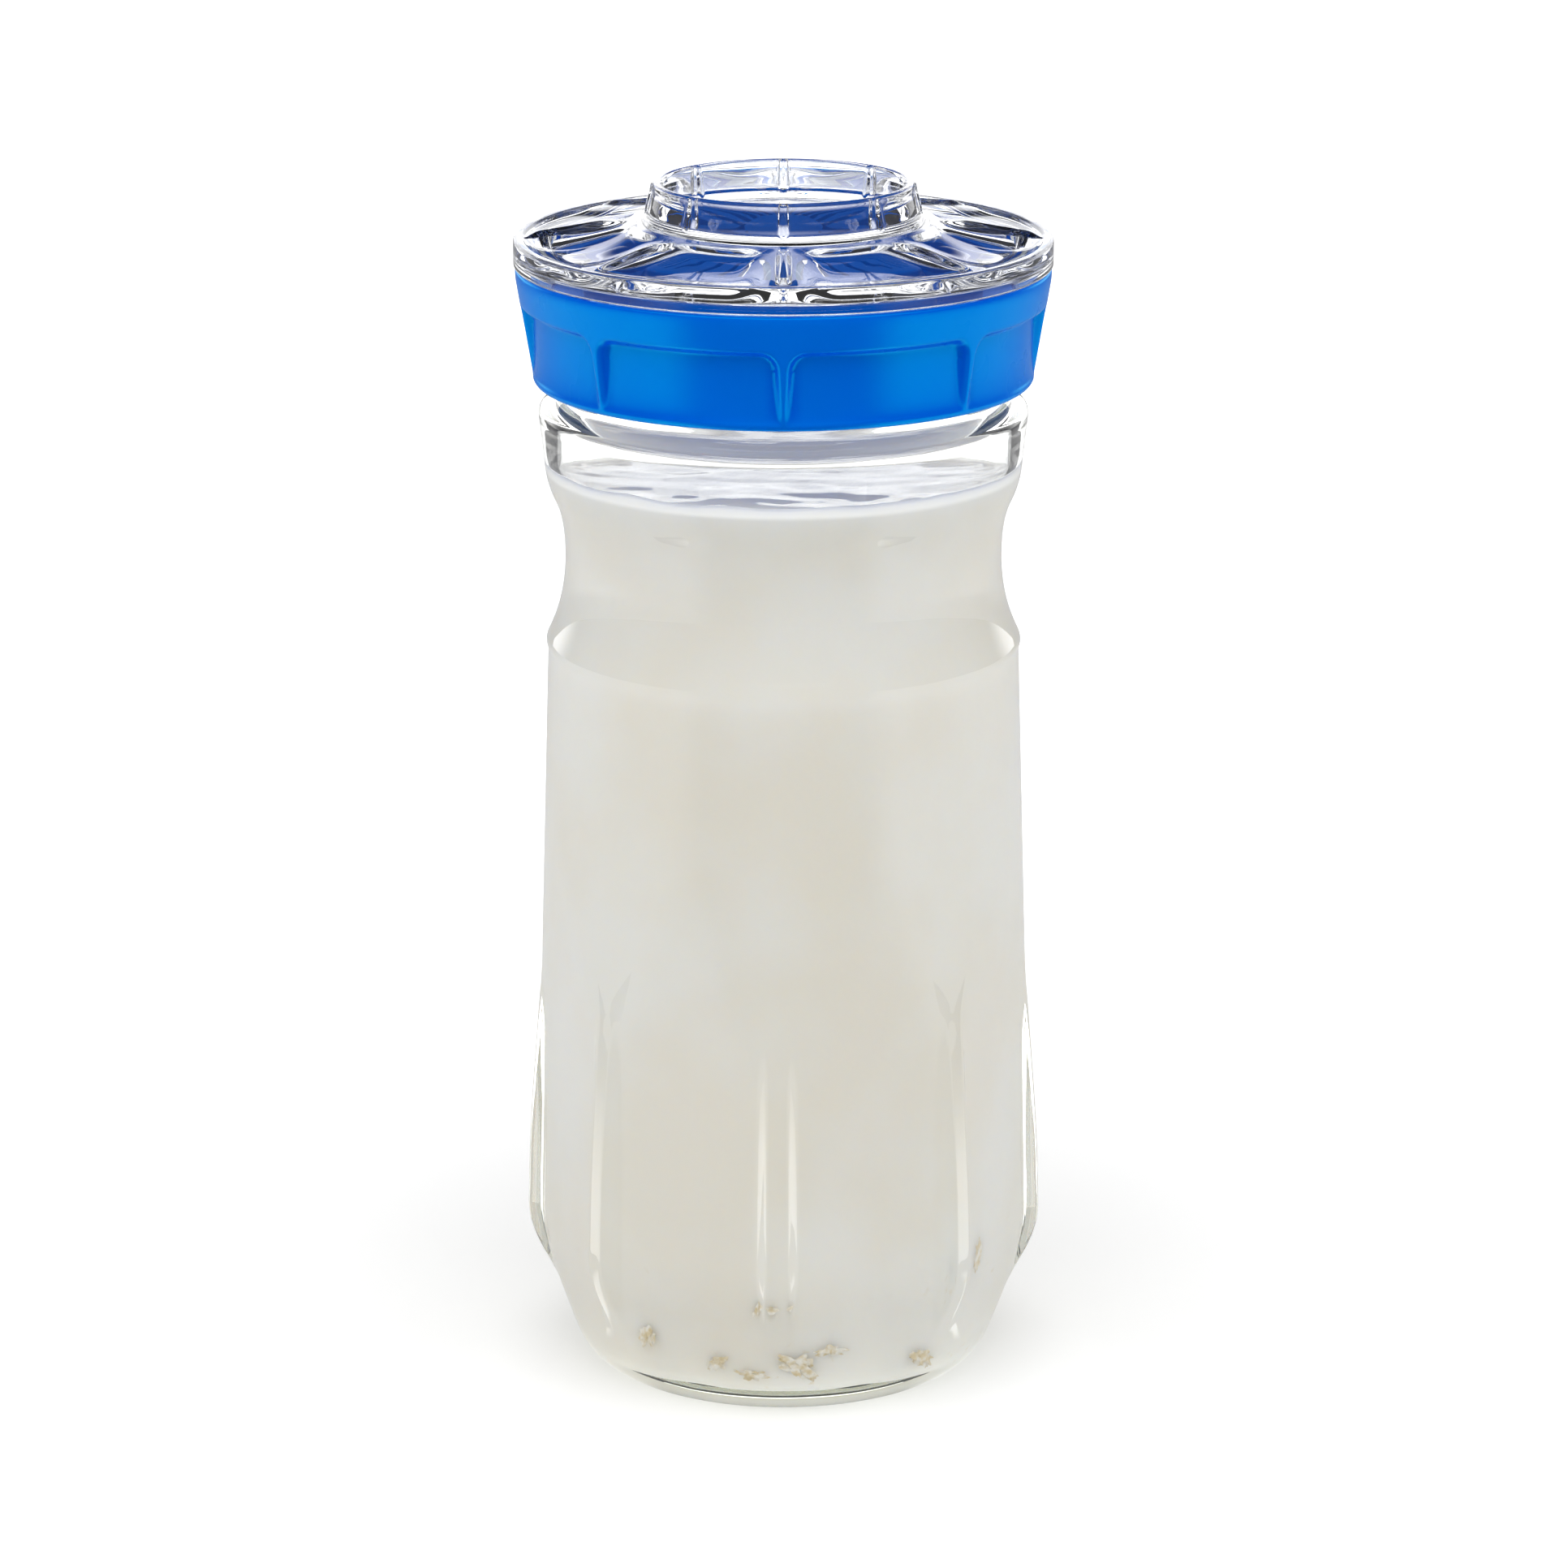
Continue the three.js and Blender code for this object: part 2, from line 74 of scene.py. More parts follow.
MM = 0.001
WELD = 0.002 * MM
SMOOTH_ANGLE = math.radians(50)
RIBS = 8
SECTOR = 2 * math.pi / RIBS
GATHER = 1.9  # power that draws a spin's columns towards the ribs

# Heights that the frame gives
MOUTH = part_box("glass_jar")[1].z / MM
COLLAR_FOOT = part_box("screw_collar")[0].z / MM
COLLAR_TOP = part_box("screw_collar")[1].z / MM
CAP_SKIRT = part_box("clear_cap")[0].z / MM
CAP_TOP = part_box("clear_cap")[1].z / MM
CAP_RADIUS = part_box("clear_cap")[1].x / MM
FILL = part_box("kefir_fill")[1].z / MM

# Glass, with the inside's radii at the waist, at the kefir's level and on the lower wall
JAR_TURN = math.radians(-1.4)  # the jar's ribs stand a little to the left of the lid's
BODY_FOOT = (47.6, 30)
BODY_TOP = (44.3, 140)
WAIST = (40.9, 158.7)
NECK_RADIUS = 41
MOUTH_RADIUS = 38
WALL = 3
FILL_RADIUS = 41.5
INNER_WAIST = WAIST[0] - WALL
INNER_BODY = 40.8
INNER_CORNER = (38.8, 20)
INNER_HEEL = (36.4, 9.2)
INNER_CORNER_TOP = 31
FLOOR_TOP = 5.4
INTO_GLASS = 0.2  # how far the kefir reaches into the glass, so that no gap shows
FACET = {"top": 106, "full": 64, "foot": 24, "gone": 5, "blend": 1.2}
RIB = {"top": 86, "full_top": 38, "full_foot": 28, "gone": 11, "crest": 1.5, "base": 4.1}
THREAD = {"lead": 6, "start": 195.2, "fade": 0.08}
THREAD_ROWS = 30
THREAD_ROW = 0.33
JAR_THREAD = {"high": 2, "crest": 0.7, "root": 1.15}
COLLAR_THREAD = {"high": -1.9, "crest": 0.6, "root": 0.9, "drop": 2.2}

# Lid
COLLAR_LEDGE = 206.6
COLLAR_WEB = {"low": 207.5, "high": 209.1, "inner": 38.2}
COLLAR_BORE = 43.6
COLLAR_SEAT = 47.3
COLLAR_LIP = 49.7
FLARE_FOOT = (46.7, COLLAR_FOOT + 1.6)
FLARE_TOP = (49.55, COLLAR_TOP - 2.6)
SKIN_TINT = (0.0, 0.85, 0.9)
PANEL = {"rib": 1.1, "tip": 0.2, "corner": 3.4, "edge": 1.2, "gone": 1.2}
DECK = {"outer": 47.4, "inner": 28.4, "low": 218.4, "rise": 3.2}
RING = {"outer": 25.1, "inner": 22.6, "floor": 222, "draft": 1.0}
STRAINER_TOP = 211.3
STRAINER_FLOOR = 204.4
FLANGE_TOP = 210.9
STRAINER_WALL = 1.4
SKIRT = {"outer": 46.3, "inner": 43.4, "groove": 44.9, "groove_low": 210.5, "groove_high": 212.9}
CAP_RIM = {"low": 213.6, "high": 218.75}
CAP_CEILING = 219.6
HOLLOW_RADIUS = 43.2

# Kefir grains: degrees from the front, height, and length
GRAINS = (
    (4, 12.6, 6.5), (-39, 15.4, 4.6), (-16, 11.8, 4), (14, 14.2, 4.2),
    (43, 10.2, 5.4), (59, 28, 4.4), (-2, 24.3, 3.4), (-7.5, 9.4, 4),
)


def clamp(value, low=0.0, high=1.0):
    return max(low, min(high, value))


def ease(value, start, end):
    """0 before start and 1 after end, with a smooth step between them."""
    share = clamp((value - start) / (end - start))
    return share * share * (3 - 2 * share)


# Settings

class GlassSettings(bpy.types.PropertyGroup):
    rib_height: FloatProperty(
        name="Rib height", description="How far a glass rib stands off its corner",
        default=1.6 * MM, min=0, unit="LENGTH")
    facet_depth: FloatProperty(
        name="Facet depth", description="Share of the radius that the flat facets take off",
        default=0.068, min=0, max=0.1, subtype="FACTOR")
    columns: IntProperty(
        name="Columns", description="Columns of faces in each of the eight sectors", default=40, min=12)
    tint: FloatVectorProperty(
        name="Tint", description="What the glass absorbs over a long way through it",
        default=(0.80, 0.84, 0.70), subtype="COLOR", min=0, max=1)


class KefirSettings(bpy.types.PropertyGroup):
    milk: FloatVectorProperty(
        name="Milk", description="Colour of the cultured milk",
        default=(0.805, 0.775, 0.715), subtype="COLOR", min=0, max=1)
    whey: FloatVectorProperty(
        name="Whey", description="Cooler colour of its thinner streaks",
        default=(0.82, 0.81, 0.785), subtype="COLOR", min=0, max=1)
    curd: FloatVectorProperty(
        name="Curd", description="Colour of the grains and flecks",
        default=(0.66, 0.55, 0.35), subtype="COLOR", min=0, max=1)


class LidSettings(bpy.types.PropertyGroup):
    blue: FloatVectorProperty(
        name="Blue", description="Colour of the collar",
        default=(0.0, 0.115, 0.80), subtype="COLOR", min=0, max=1)
    # Painted shade: the strainer's own blue, darkened further to stand in for the dim light in the hollow
    # under the cap
    deep_blue: FloatVectorProperty(
        name="Deep blue", description="Colour of the strainer",
        default=(0.0, 0.09, 0.48), subtype="COLOR", min=0, max=1)
    panel_depth: FloatProperty(
        name="Panel depth", description="How far the collar's panels sink under the band",
        default=2.4 * MM, min=0, unit="LENGTH")
    scallop: FloatProperty(
        name="Scallop", description="How far the cap sinks between its ridges",
        default=1.9 * MM, min=0, unit="LENGTH")
    ridge: FloatProperty(
        name="Ridge", description="How far a ridge stands off the cap",
        default=0.9 * MM, min=0, unit="LENGTH")
    slots: IntProperty(
        name="Slots", description="Slots round the strainer", default=32, min=8)
    slot_width: FloatProperty(
        name="Slot width", description="Width of a strainer slot",
        default=1.1 * MM, min=0.2 * MM, unit="LENGTH")


class StageSettings(bpy.types.PropertyGroup):
    softbox: FloatProperty(
        name="Softboxes", description="Brightness of the two lights beside and behind the jar",
        default=2.2, min=0)
    overhead: FloatProperty(
        name="Overhead", description="Brightness of the light from above", default=1.3, min=0)
    fill: FloatProperty(
        name="Fill", description="Brightness of the light behind the camera, which gloss doesn't show",
        default=0.85, min=0)
    strip: FloatProperty(
        name="Strips", description="Brightness of the low strips that line the ribs", default=3, min=0)
    backdrop: FloatProperty(
        name="Backdrop", description="Brightness of the backdrop in glass and gloss", default=1.45, min=0)
    ceiling: FloatProperty(
        name="Ceiling", description="Brightness of the ceiling over the camera", default=0.7, min=0)
    room: FloatProperty(
        name="Room", description="Brightness of the dark room round the studio", default=0.12, min=0)
    lens: FloatProperty(
        name="Lens", description="Focal length for a 36 mm sensor, in millimetres", default=141.3, min=1)
    camera: FloatVectorProperty(
        name="Camera", description="Where the camera stands",
        default=(0.0001, -1.1227, 0.431), subtype="TRANSLATION", unit="LENGTH")
    pitch: FloatProperty(
        name="Pitch", description="How far the camera looks down",
        default=math.radians(15.8), subtype="ANGLE", unit="ROTATION")


# Finishes

class Value:
    """A shader socket that joins in Python sums: each operator adds a Math node to its finish."""

    def __init__(self, finish, socket):
        self.finish = finish
        self.socket = socket

    def math(self, operation, first, second):
        return self.finish.node("ShaderNodeMath", {"operation": operation}, {0: first, 1: second})

    def __add__(self, other):
        return self.math("ADD", self, other)

    __radd__ = __add__

    def __sub__(self, other):
        return self.math("SUBTRACT", self, other)

    def __rsub__(self, other):
        return self.math("SUBTRACT", other, self)

    def __mul__(self, other):
        return self.math("MULTIPLY", self, other)

    __rmul__ = __mul__

    def __truediv__(self, other):
        return self.math("DIVIDE", self, other)

    def __rtruediv__(self, other):
        return self.math("DIVIDE", other, self)

    def __abs__(self):
        return self.math("ABSOLUTE", self, 0)

    def __or__(self, other):
        return self.math("MAXIMUM", self, other)


class Finish:
    """The node tree of a material or a world while it is put together."""

    def __init__(self, owner):
        owner.use_nodes = True
        self.owner = owner
        self.tree = owner.node_tree
        self.tree.nodes.clear()

    def node(self, kind, settings=None, inputs=None, output=0):
        """Adds a node, sets it up, gives its sockets their values or links, and returns one output."""
        made = self.tree.nodes.new(kind)
        for name, value in (settings or {}).items():
            if name == "stops":
                self.set_stops(made.color_ramp, value)
            else:
                setattr(made, name, value)
        for key, value in (inputs or {}).items():
            if isinstance(value, Value):
                self.tree.links.new(value.socket, made.inputs[key])
            else:
                made.inputs[key].default_value = value
        return Value(self, made.outputs[output]) if made.outputs else None

    @staticmethod
    def set_stops(ramp, stops):
        while len(ramp.elements) < len(stops):
            ramp.elements.new(1)
        for element, (place, shade) in zip(ramp.elements, stops):
            element.position = place
            element.color = (shade, shade, shade, 1)

    def place(self):
        """The point on the piece, in metres."""
        return self.node("ShaderNodeTexCoord", output="Object")

    def cloud(self, scale, detail=2.0, roughness=0.5, vector=None):
        """Soft noise from 0 to 1, with scale patches to a metre."""
        spot = vector or self.place()
        inputs = {"Vector": spot, "Scale": scale, "Detail": detail, "Roughness": roughness}
        return self.node("ShaderNodeTexNoise", None, inputs)

    def step(self, value, start, end):
        """0 before start and 1 after end, with a smooth step between them."""
        span = {"Value": value, "From Min": start, "From Max": end}
        return self.node("ShaderNodeMapRange", {"interpolation_type": "SMOOTHSTEP"}, span)

    def ramp(self, value, *stops):
        return self.node("ShaderNodeValToRGB", {"stops": stops}, {0: value})

    def mixed(self, share, first, second):
        """A colour between two others."""
        return self.node("ShaderNodeMix", {"data_type": "RGBA"}, {0: share, 6: first, 7: second}, output=2)

    def bump(self, height, depth):
        return self.node("ShaderNodeBump", None, {"Height": height, "Distance": depth, "Strength": 1.0})

    def close(self, surface, volume=None):
        inputs = {"Surface": surface}
        if volume:
            inputs["Volume"] = volume
        self.node("ShaderNodeOutputMaterial", None, inputs)
        return self.owner


def opaque(colour):
    return (*colour, 1.0)


def clear_surface(finish, principled, through):
    """A clear shader that lamps and soft bounces pass straight through."""
    shader = finish.node("ShaderNodeBsdfPrincipled", None, principled)
    passing = finish.node("ShaderNodeBsdfTransparent", None, {"Color": opaque(through)})
    straight = finish.node("ShaderNodeLightPath", output="Is Shadow Ray")
    straight = straight | finish.node("ShaderNodeLightPath", output="Is Diffuse Ray")
    return finish.node("ShaderNodeMixShader", None, {0: straight, 1: shader, 2: passing})


def pressed_glass(settings):
    """Clear pressed glass: fire polished, with a slow waviness and a faint olive tint in its depth."""
    finish = Finish(bpy.data.materials.new("pressed_glass"))
    waves = finish.cloud(38, detail=1.0)
    surface = clear_surface(finish, {
        "Base Color": opaque((0.985, 0.99, 0.985)),
        "Roughness": finish.cloud(300) * 0.02,
        "IOR": 1.51,
        "Transmission Weight": 1.0,
        "Normal": finish.bump(waves, 0.25 * MM),
    }, (0.95, 0.955, 0.945))
    absorbed = {"Color": opaque(settings.tint), "Density": 8.0}
    depth = finish.node("ShaderNodeVolumeAbsorption", None, absorbed)
    return finish.close(surface, depth)


def clear_plastic():
    """Clear moulded plastic, glossy, with the faint flow waves of moulding."""
    finish = Finish(bpy.data.materials.new("clear_moulding"))
    flow = finish.cloud(55, detail=1.0)
    surface = clear_surface(finish, {
        "Base Color": opaque((0.985, 0.99, 0.995)),
        "Roughness": finish.cloud(240) * 0.02,
        "IOR": 1.5,
        "Transmission Weight": 1.0,
        "Normal": finish.bump(flow, 0.06 * MM),
    }, (0.93, 0.94, 0.95))
    return finish.close(surface)


def blue_plastic(colour, name, roughness, skin=0.0, recess_shade=None):
    """Moulded plastic with a slight orange peel and faint flow shading, and painted shade that darkens its
    panels beside the ribs.

    skin is the share of a tinted mirror on it, which lightens its sides.
    """
    finish = Finish(bpy.data.materials.new(name))
    red, green, blue = colour
    flow = finish.ramp(finish.cloud(30, detail=3.0), (0.3, 0), (0.7, 1))
    dull, bright = (red, green * 0.93, blue * 0.97), (red, green * 1.08, blue * 1.03)
    shade = finish.mixed(flow, opaque(dull), opaque(bright))
    if recess_shade:
        # Painted shade: a deeper blue where a panel's recess lies beside a rib, standing in for the shade
        # there
        shade = finish.mixed(recess_shade(finish), shade, opaque((red, green * 0.5, blue * 0.9)))
    peel = finish.cloud(320, detail=1.0)
    shader = finish.node("ShaderNodeBsdfPrincipled", None, {
        "Base Color": shade,
        "Roughness": roughness + finish.cloud(120) * 0.06,
        "IOR": 1.49,
        "Specular IOR Level": 0.04,
        "Specular Tint": opaque((0.15, 0.6, 1.0)),
        "Normal": finish.bump(peel, 0.004 * MM),
    })
    if skin:
        polish = finish.node("ShaderNodeBsdfPrincipled", None, {
            "Base Color": opaque(SKIN_TINT),
            "Metallic": 1.0,
            "Roughness": roughness,
            "Specular Tint": opaque(SKIN_TINT),
        })
        shader = finish.node("ShaderNodeMixShader", None, {0: skin, 1: shader, 2: polish})
    return finish.close(shader)


def cultured_milk(settings):
    """Thick cultured milk: warm white with cooler streaks, tan flecks of curd near the bottom, and a
    painted glow on its top.
    """
    finish = Finish(bpy.data.materials.new("cultured_milk"))
    spot = finish.place()
    height = finish.node("ShaderNodeSeparateXYZ", None, {0: spot}, output="Z")
    streaks = finish.ramp(finish.cloud(22, detail=4.0, vector=spot), (0.42, 0), (0.6, 1))
    white = finish.mixed(streaks, opaque(settings.milk), opaque(settings.whey))
    low = 1 - finish.step(height, 8 * MM, 40 * MM)
    torn = finish.ramp(finish.cloud(520, detail=3.0, vector=spot), (0.62, 0), (0.72, 1))
    patches = finish.ramp(finish.cloud(95, detail=2.0, vector=spot), (0.52, 0), (0.64, 1))
    flecks = low * torn * patches * 0.55
    # The top takes a real wet coat and a painted glow
    top = finish.step(height, (FILL - 1.5) * MM, (FILL - 0.5) * MM)
    shader = finish.node("ShaderNodeBsdfPrincipled", None, {
        "Base Color": finish.mixed(flecks, white, opaque(settings.curd)),
        "Roughness": 0.4 + finish.cloud(200) * 0.2,
        "Specular IOR Level": 0.0,
        "Subsurface Weight": 1.0,
        "Subsurface Radius": (1.0, 0.9, 0.75),
        "Subsurface Scale": 12 * MM,
        "Coat Weight": top * 0.8,
        "Coat Roughness": 0.03,
        "Coat IOR": 1.45,
        # Painted light: the top glows a little in the whey's colour, standing in for light scattered up
        # through the milk
        "Emission Color": finish.mixed(top, opaque((0, 0, 0)), opaque(settings.whey)),
        "Emission Strength": 0.28,
        "Normal": finish.bump(finish.cloud(110, detail=3.0, vector=spot), 0.3 * MM),
    })
    return finish.close(shader)


def soft_curd(settings):
    """Soft tan curd, paler where milk clings to it."""
    finish = Finish(bpy.data.materials.new("soft_curd"))
    milky = finish.ramp(finish.cloud(650, detail=3.0), (0.4, 0), (0.62, 1))
    shader = finish.node("ShaderNodeBsdfPrincipled", None, {
        "Base Color": finish.mixed(milky, opaque(settings.curd), opaque(settings.milk)),
        "Roughness": 0.45 + finish.cloud(800) * 0.2,
        "Normal": finish.bump(finish.cloud(1400, detail=2.0), 0.15 * MM),
    })
    return finish.close(shader)


def pale_silicone():
    """Milky silicone with a fine matt grain."""
    finish = Finish(bpy.data.materials.new("pale_silicone"))
    haze = finish.ramp(finish.cloud(90, detail=3.0), (0.35, 0), (0.65, 1))
    shader = finish.node("ShaderNodeBsdfPrincipled", None, {
        "Base Color": finish.mixed(haze, opaque((0.72, 0.75, 0.76)), opaque((0.80, 0.82, 0.82))),
        "Roughness": 0.45 + finish.cloud(700) * 0.15,
        "Normal": finish.bump(finish.cloud(1600, detail=1.0), 0.02 * MM),
    })
    return finish.close(shader)


# Turning

def on_wire(point):
    """Where a (radius, height) point of an outline stands, at the front of the jar."""
    radius, height = point
    return Vector((0, -radius, height)) * MM


class Outline:
    """A wire of (radius, height) points in millimetres, drawn at the front of the jar and then spun."""

    def __init__(self, start, longest=math.inf):
        self.bm = bmesh.new()
        self.longest = longest * MM
        self.verts = []
        self.join(on_wire(start))

    def to(self, *points):
        """Straight runs through points, with an extra point wherever a run is over the longest."""
        for point in points:
            start, end = self.verts[-1].co.copy(), on_wire(point)
            count = math.ceil((end - start).length / self.longest) or 1
            for step in range(1, count + 1):
                self.join(start.lerp(end, step / count))
        return self

    def curve(self, bend, end, steps=8):
        """A round stretch to end, drawn towards the point bend."""
        start, middle, last = self.verts[-1].co.copy(), on_wire(bend), on_wire(end)
        handles = (start.lerp(middle, 2 / 3), last.lerp(middle, 2 / 3))
        for point in interpolate_bezier(start, *handles, last, steps + 1)[1:]:
            self.join(point)
        return self

    def join(self, point):
        self.verts.append(self.bm.verts.new(point))
        if len(self.verts) > 1:
            self.bm.edges.new(self.verts[-2:])

    def spin(self, columns, shape=None):
        """Turns one sector of skin, repeats it round the axis, and moves each point as shape says."""
        turn = {"cent": (0, 0, 0), "axis": (0, 0, 1), "dvec": (0, 0, 0)}
        wire = self.verts + list(self.bm.edges)
        bmesh.ops.spin(self.bm, geom=wire, angle=SECTOR, steps=columns, **turn)
        sector = list(self.bm.verts) + list(self.bm.edges) + list(self.bm.faces)
        bmesh.ops.spin(
            self.bm, geom=sector, angle=2 * math.pi - SECTOR, steps=RIBS - 1, use_duplicate=True, **turn)
        if shape:
            for vert in self.bm.verts:
                vert.co = shape(vert.co)
        return self.bm


def polar(point):
    """(angle from the front towards +X, radius in mm, height in mm) of a point."""
    return math.atan2(point.x, -point.y), math.hypot(point.x, point.y) / MM, point.z / MM


def from_polar(angle, radius, height):
    return Vector((radius * math.sin(angle), -radius * math.cos(angle), height)) * MM


def drawn_to_ribs(angle):
    """Moves a column towards the nearest rib, so that a rib has more columns than a panel."""
    rib = round(angle / SECTOR) * SECTOR
    share = (angle - rib) / (SECTOR / 2)
    return rib + math.copysign(abs(share) ** GATHER, share) * SECTOR / 2


def from_rib(angle):
    """Angle to the nearest rib."""
    return abs(angle - round(angle / SECTOR) * SECTOR)


def thread_height(angle, height, thread, start):
    """How far one climbing turn of thread stands off its wall."""
    along = (angle % (2 * math.pi)) / (2 * math.pi)
    away = abs(height - start - along * THREAD["lead"])
    fade = clamp(min(along, 1 - along) / THREAD["fade"])
    return thread["high"] * fade * clamp((thread["root"] - away) / (thread["root"] - thread["crest"]))


def welded(*skins):
    """Joins skins along the edges that they share, with every normal outwards."""
    bm = skins[0]
    for skin in skins[1:]:
        mesh = bpy.data.meshes.new("skin")
        skin.to_mesh(mesh)
        skin.free()
        bm.from_mesh(mesh)
        bpy.data.meshes.remove(mesh)
    bmesh.ops.remove_doubles(bm, verts=bm.verts, dist=WELD)
    bmesh.ops.recalc_face_normals(bm, faces=bm.faces)
    return bm


def finish_piece(name, bm, material, body, nodes):
    """Makes a bmesh a smooth object that rides on a body and stands for its nodes."""
    mesh = bpy.data.meshes.new(name)
    bm.to_mesh(mesh)
    bm.free()
    mesh.shade_smooth()
    mesh.set_sharp_from_angle(angle=SMOOTH_ANGLE)
    mesh.materials.append(material)
    piece = bpy.data.objects.new(name, mesh)
    bpy.context.scene.collection.objects.link(piece)
    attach(piece, body)
    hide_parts(*nodes)
    return piece


# Glass jar

def faceted(settings):
    """The moves that cut the jar's outside to facets, and raise its ribs and its thread."""
    rib_height = settings.rib_height / MM
    crest, base = math.radians(RIB["crest"]), math.radians(RIB["base"])

    def shape(point):
        angle, radius, height = polar(point)
        angle = drawn_to_ribs(angle)
        away = from_rib(angle)
        cut = (1 - ease(height, FACET["full"], FACET["top"])) * ease(height, FACET["gone"], FACET["foot"])
        flat = radius * (1 - settings.facet_depth * cut) / math.cos(SECTOR / 2 - away)
        blend = FACET["blend"] * clamp(5 * cut, 0.01)
        spare = clamp(0.5 + (radius - flat) / (2 * blend))
        facet = radius + (flat - radius) * spare - blend * spare * (1 - spare)
        stand = 1 - ease(height, RIB["full_top"], RIB["top"])
        stand *= ease(height, RIB["gone"], RIB["full_foot"])
        across = clamp((away - crest) / (base - crest))
        onto = 1 - across ** 2 - (1 - stand) * (ease(across, 0, 1) - across ** 2)
        ribbed = facet + (radius + rib_height * stand - facet) * onto * ease(stand, 0, 0.25)
        if NECK_RADIUS - 0.1 < radius < NECK_RADIUS + 0.1:
            ribbed += thread_height(angle, height, JAR_THREAD, THREAD["start"])
        return from_polar(angle, ribbed, height)

    return shape


def jar_inside(wire, grow):
    """Draws the inside of the glass downwards from the kefir's level, pushed into the glass by grow."""
    wire.to((FILL_RADIUS + grow, 174.5))
    wire.curve((INNER_WAIST + grow, 167.2), (INNER_WAIST + grow, WAIST[1]), 10)
    wire.curve((INNER_WAIST + grow, 150.2), (BODY_TOP[0] - WALL + grow, BODY_TOP[1]), 10)
    wire.to((41.4 + grow, 92), (INNER_BODY + grow, INNER_CORNER_TOP))
    wire.curve((INNER_BODY + grow, 25), (INNER_CORNER[0] + grow, INNER_CORNER[1]))
    wire.to((INNER_HEEL[0] + grow, INNER_HEEL[1]))
    wire.curve((34.6 + grow, FLOOR_TOP - grow), (30, FLOOR_TOP - grow))
    wire.to((0, FLOOR_TOP - grow))


class JAR_OT_glass(bpy.types.Operator):
    """Turn the ribbed glass jar"""
    bl_idname = "jar.glass"
    bl_label = "Glass Jar"

    def execute(self, context):
        settings = context.scene.jar_glass
        wire = Outline((0, 1.8), longest=3)
        wire.to((18, 1.8)).curve((22, 1.8), (23.5, 0.7), 4).curve((24.6, 0), (26, 0), 4).to((31, 0))
        wire.curve((37.4, 0), (39.95, 6), 12)
        wire.to((45.17, 19)).curve((47.5, 24.5), BODY_FOOT, 12)
        wire.to(BODY_TOP).curve((44.25, 141.2), (44.5, 141.7), 4).curve((44.75, 142.3), (44.35, 143.2), 4)
        wire.curve((WAIST[0], 150.2), WAIST, 14)
        wire.curve((WAIST[0], 165.5), (42.6, 169.2), 8).curve((44.3, 172.5), (44.6, 176), 8)
        wire.to((45.6, 185.3)).curve((45.75, 186.7), (44.9, 187.3), 6).to((43.1, 188.5))
        wire.curve((NECK_RADIUS, 189.9), (NECK_RADIUS, 191.6), 6)
        wire.to((NECK_RADIUS, 193.5))
        for step in range(THREAD_ROWS):
            wire.to((NECK_RADIUS, 193.8 + THREAD_ROW * step))
        wire.to((NECK_RADIUS, MOUTH - 0.9)).curve((NECK_RADIUS, MOUTH), (40.1, MOUTH), 4)
        lip = (MOUTH_RADIUS, MOUTH - 0.9)
        wire.to((38.9, MOUTH)).curve((MOUTH_RADIUS, MOUTH), lip, 4)
        inside = Outline(lip, longest=5)
        inside.to((MOUTH_RADIUS, 191)).curve((MOUTH_RADIUS, 189.6), (39.4, 188.3), 6)
        inside.curve((41.4, 186.4), (FILL_RADIUS, 183.6), 6)
        jar_inside(inside, 0)
        columns = settings.columns
        bm = welded(wire.spin(columns, faceted(settings)), inside.spin(columns, self.gathered))
        bmesh.ops.rotate(bm, verts=bm.verts, cent=(0, 0, 0), matrix=Matrix.Rotation(JAR_TURN, 3, "Z"))
        finish_piece("ribbed_glass", bm, pressed_glass(settings), "jar", ["glass_jar"])
        return {"FINISHED"}

    @staticmethod
    def gathered(point):
        angle, radius, height = polar(point)
        return from_polar(drawn_to_ribs(angle), radius, height)


# Kefir

class JAR_OT_kefir(bpy.types.Operator):
    """Pour the kefir, with its edge drawn up a little where it meets the glass"""
    bl_idname = "jar.kefir"
    bl_label = "Kefir"

    def execute(self, context):
        settings = context.scene.jar_kefir
        wire = Outline((0, FILL), longest=1.3)
        wire.to((38, FILL)).curve((41.2, FILL), (FILL_RADIUS + INTO_GLASS, FILL + 1.1), 8)
        jar_inside(wire, INTO_GLASS)
        bm = welded(wire.spin(24, self.rippled))
        finish_piece("kefir", bm, cultured_milk(settings), "jar", ["kefir_fill"])
        return {"FINISHED"}

    @staticmethod
    def rippled(point):
        """Gives the top a slow unevenness."""
        angle, radius, height = polar(point)
        if height < FILL - 0.1:
            return point
        flat = Vector((point.x, point.y, 0))
        lift = 0.5 * noise.noise(flat / (13 * MM)) + 0.22 * noise.noise(flat / (6 * MM))
        return from_polar(angle, radius, height + lift)


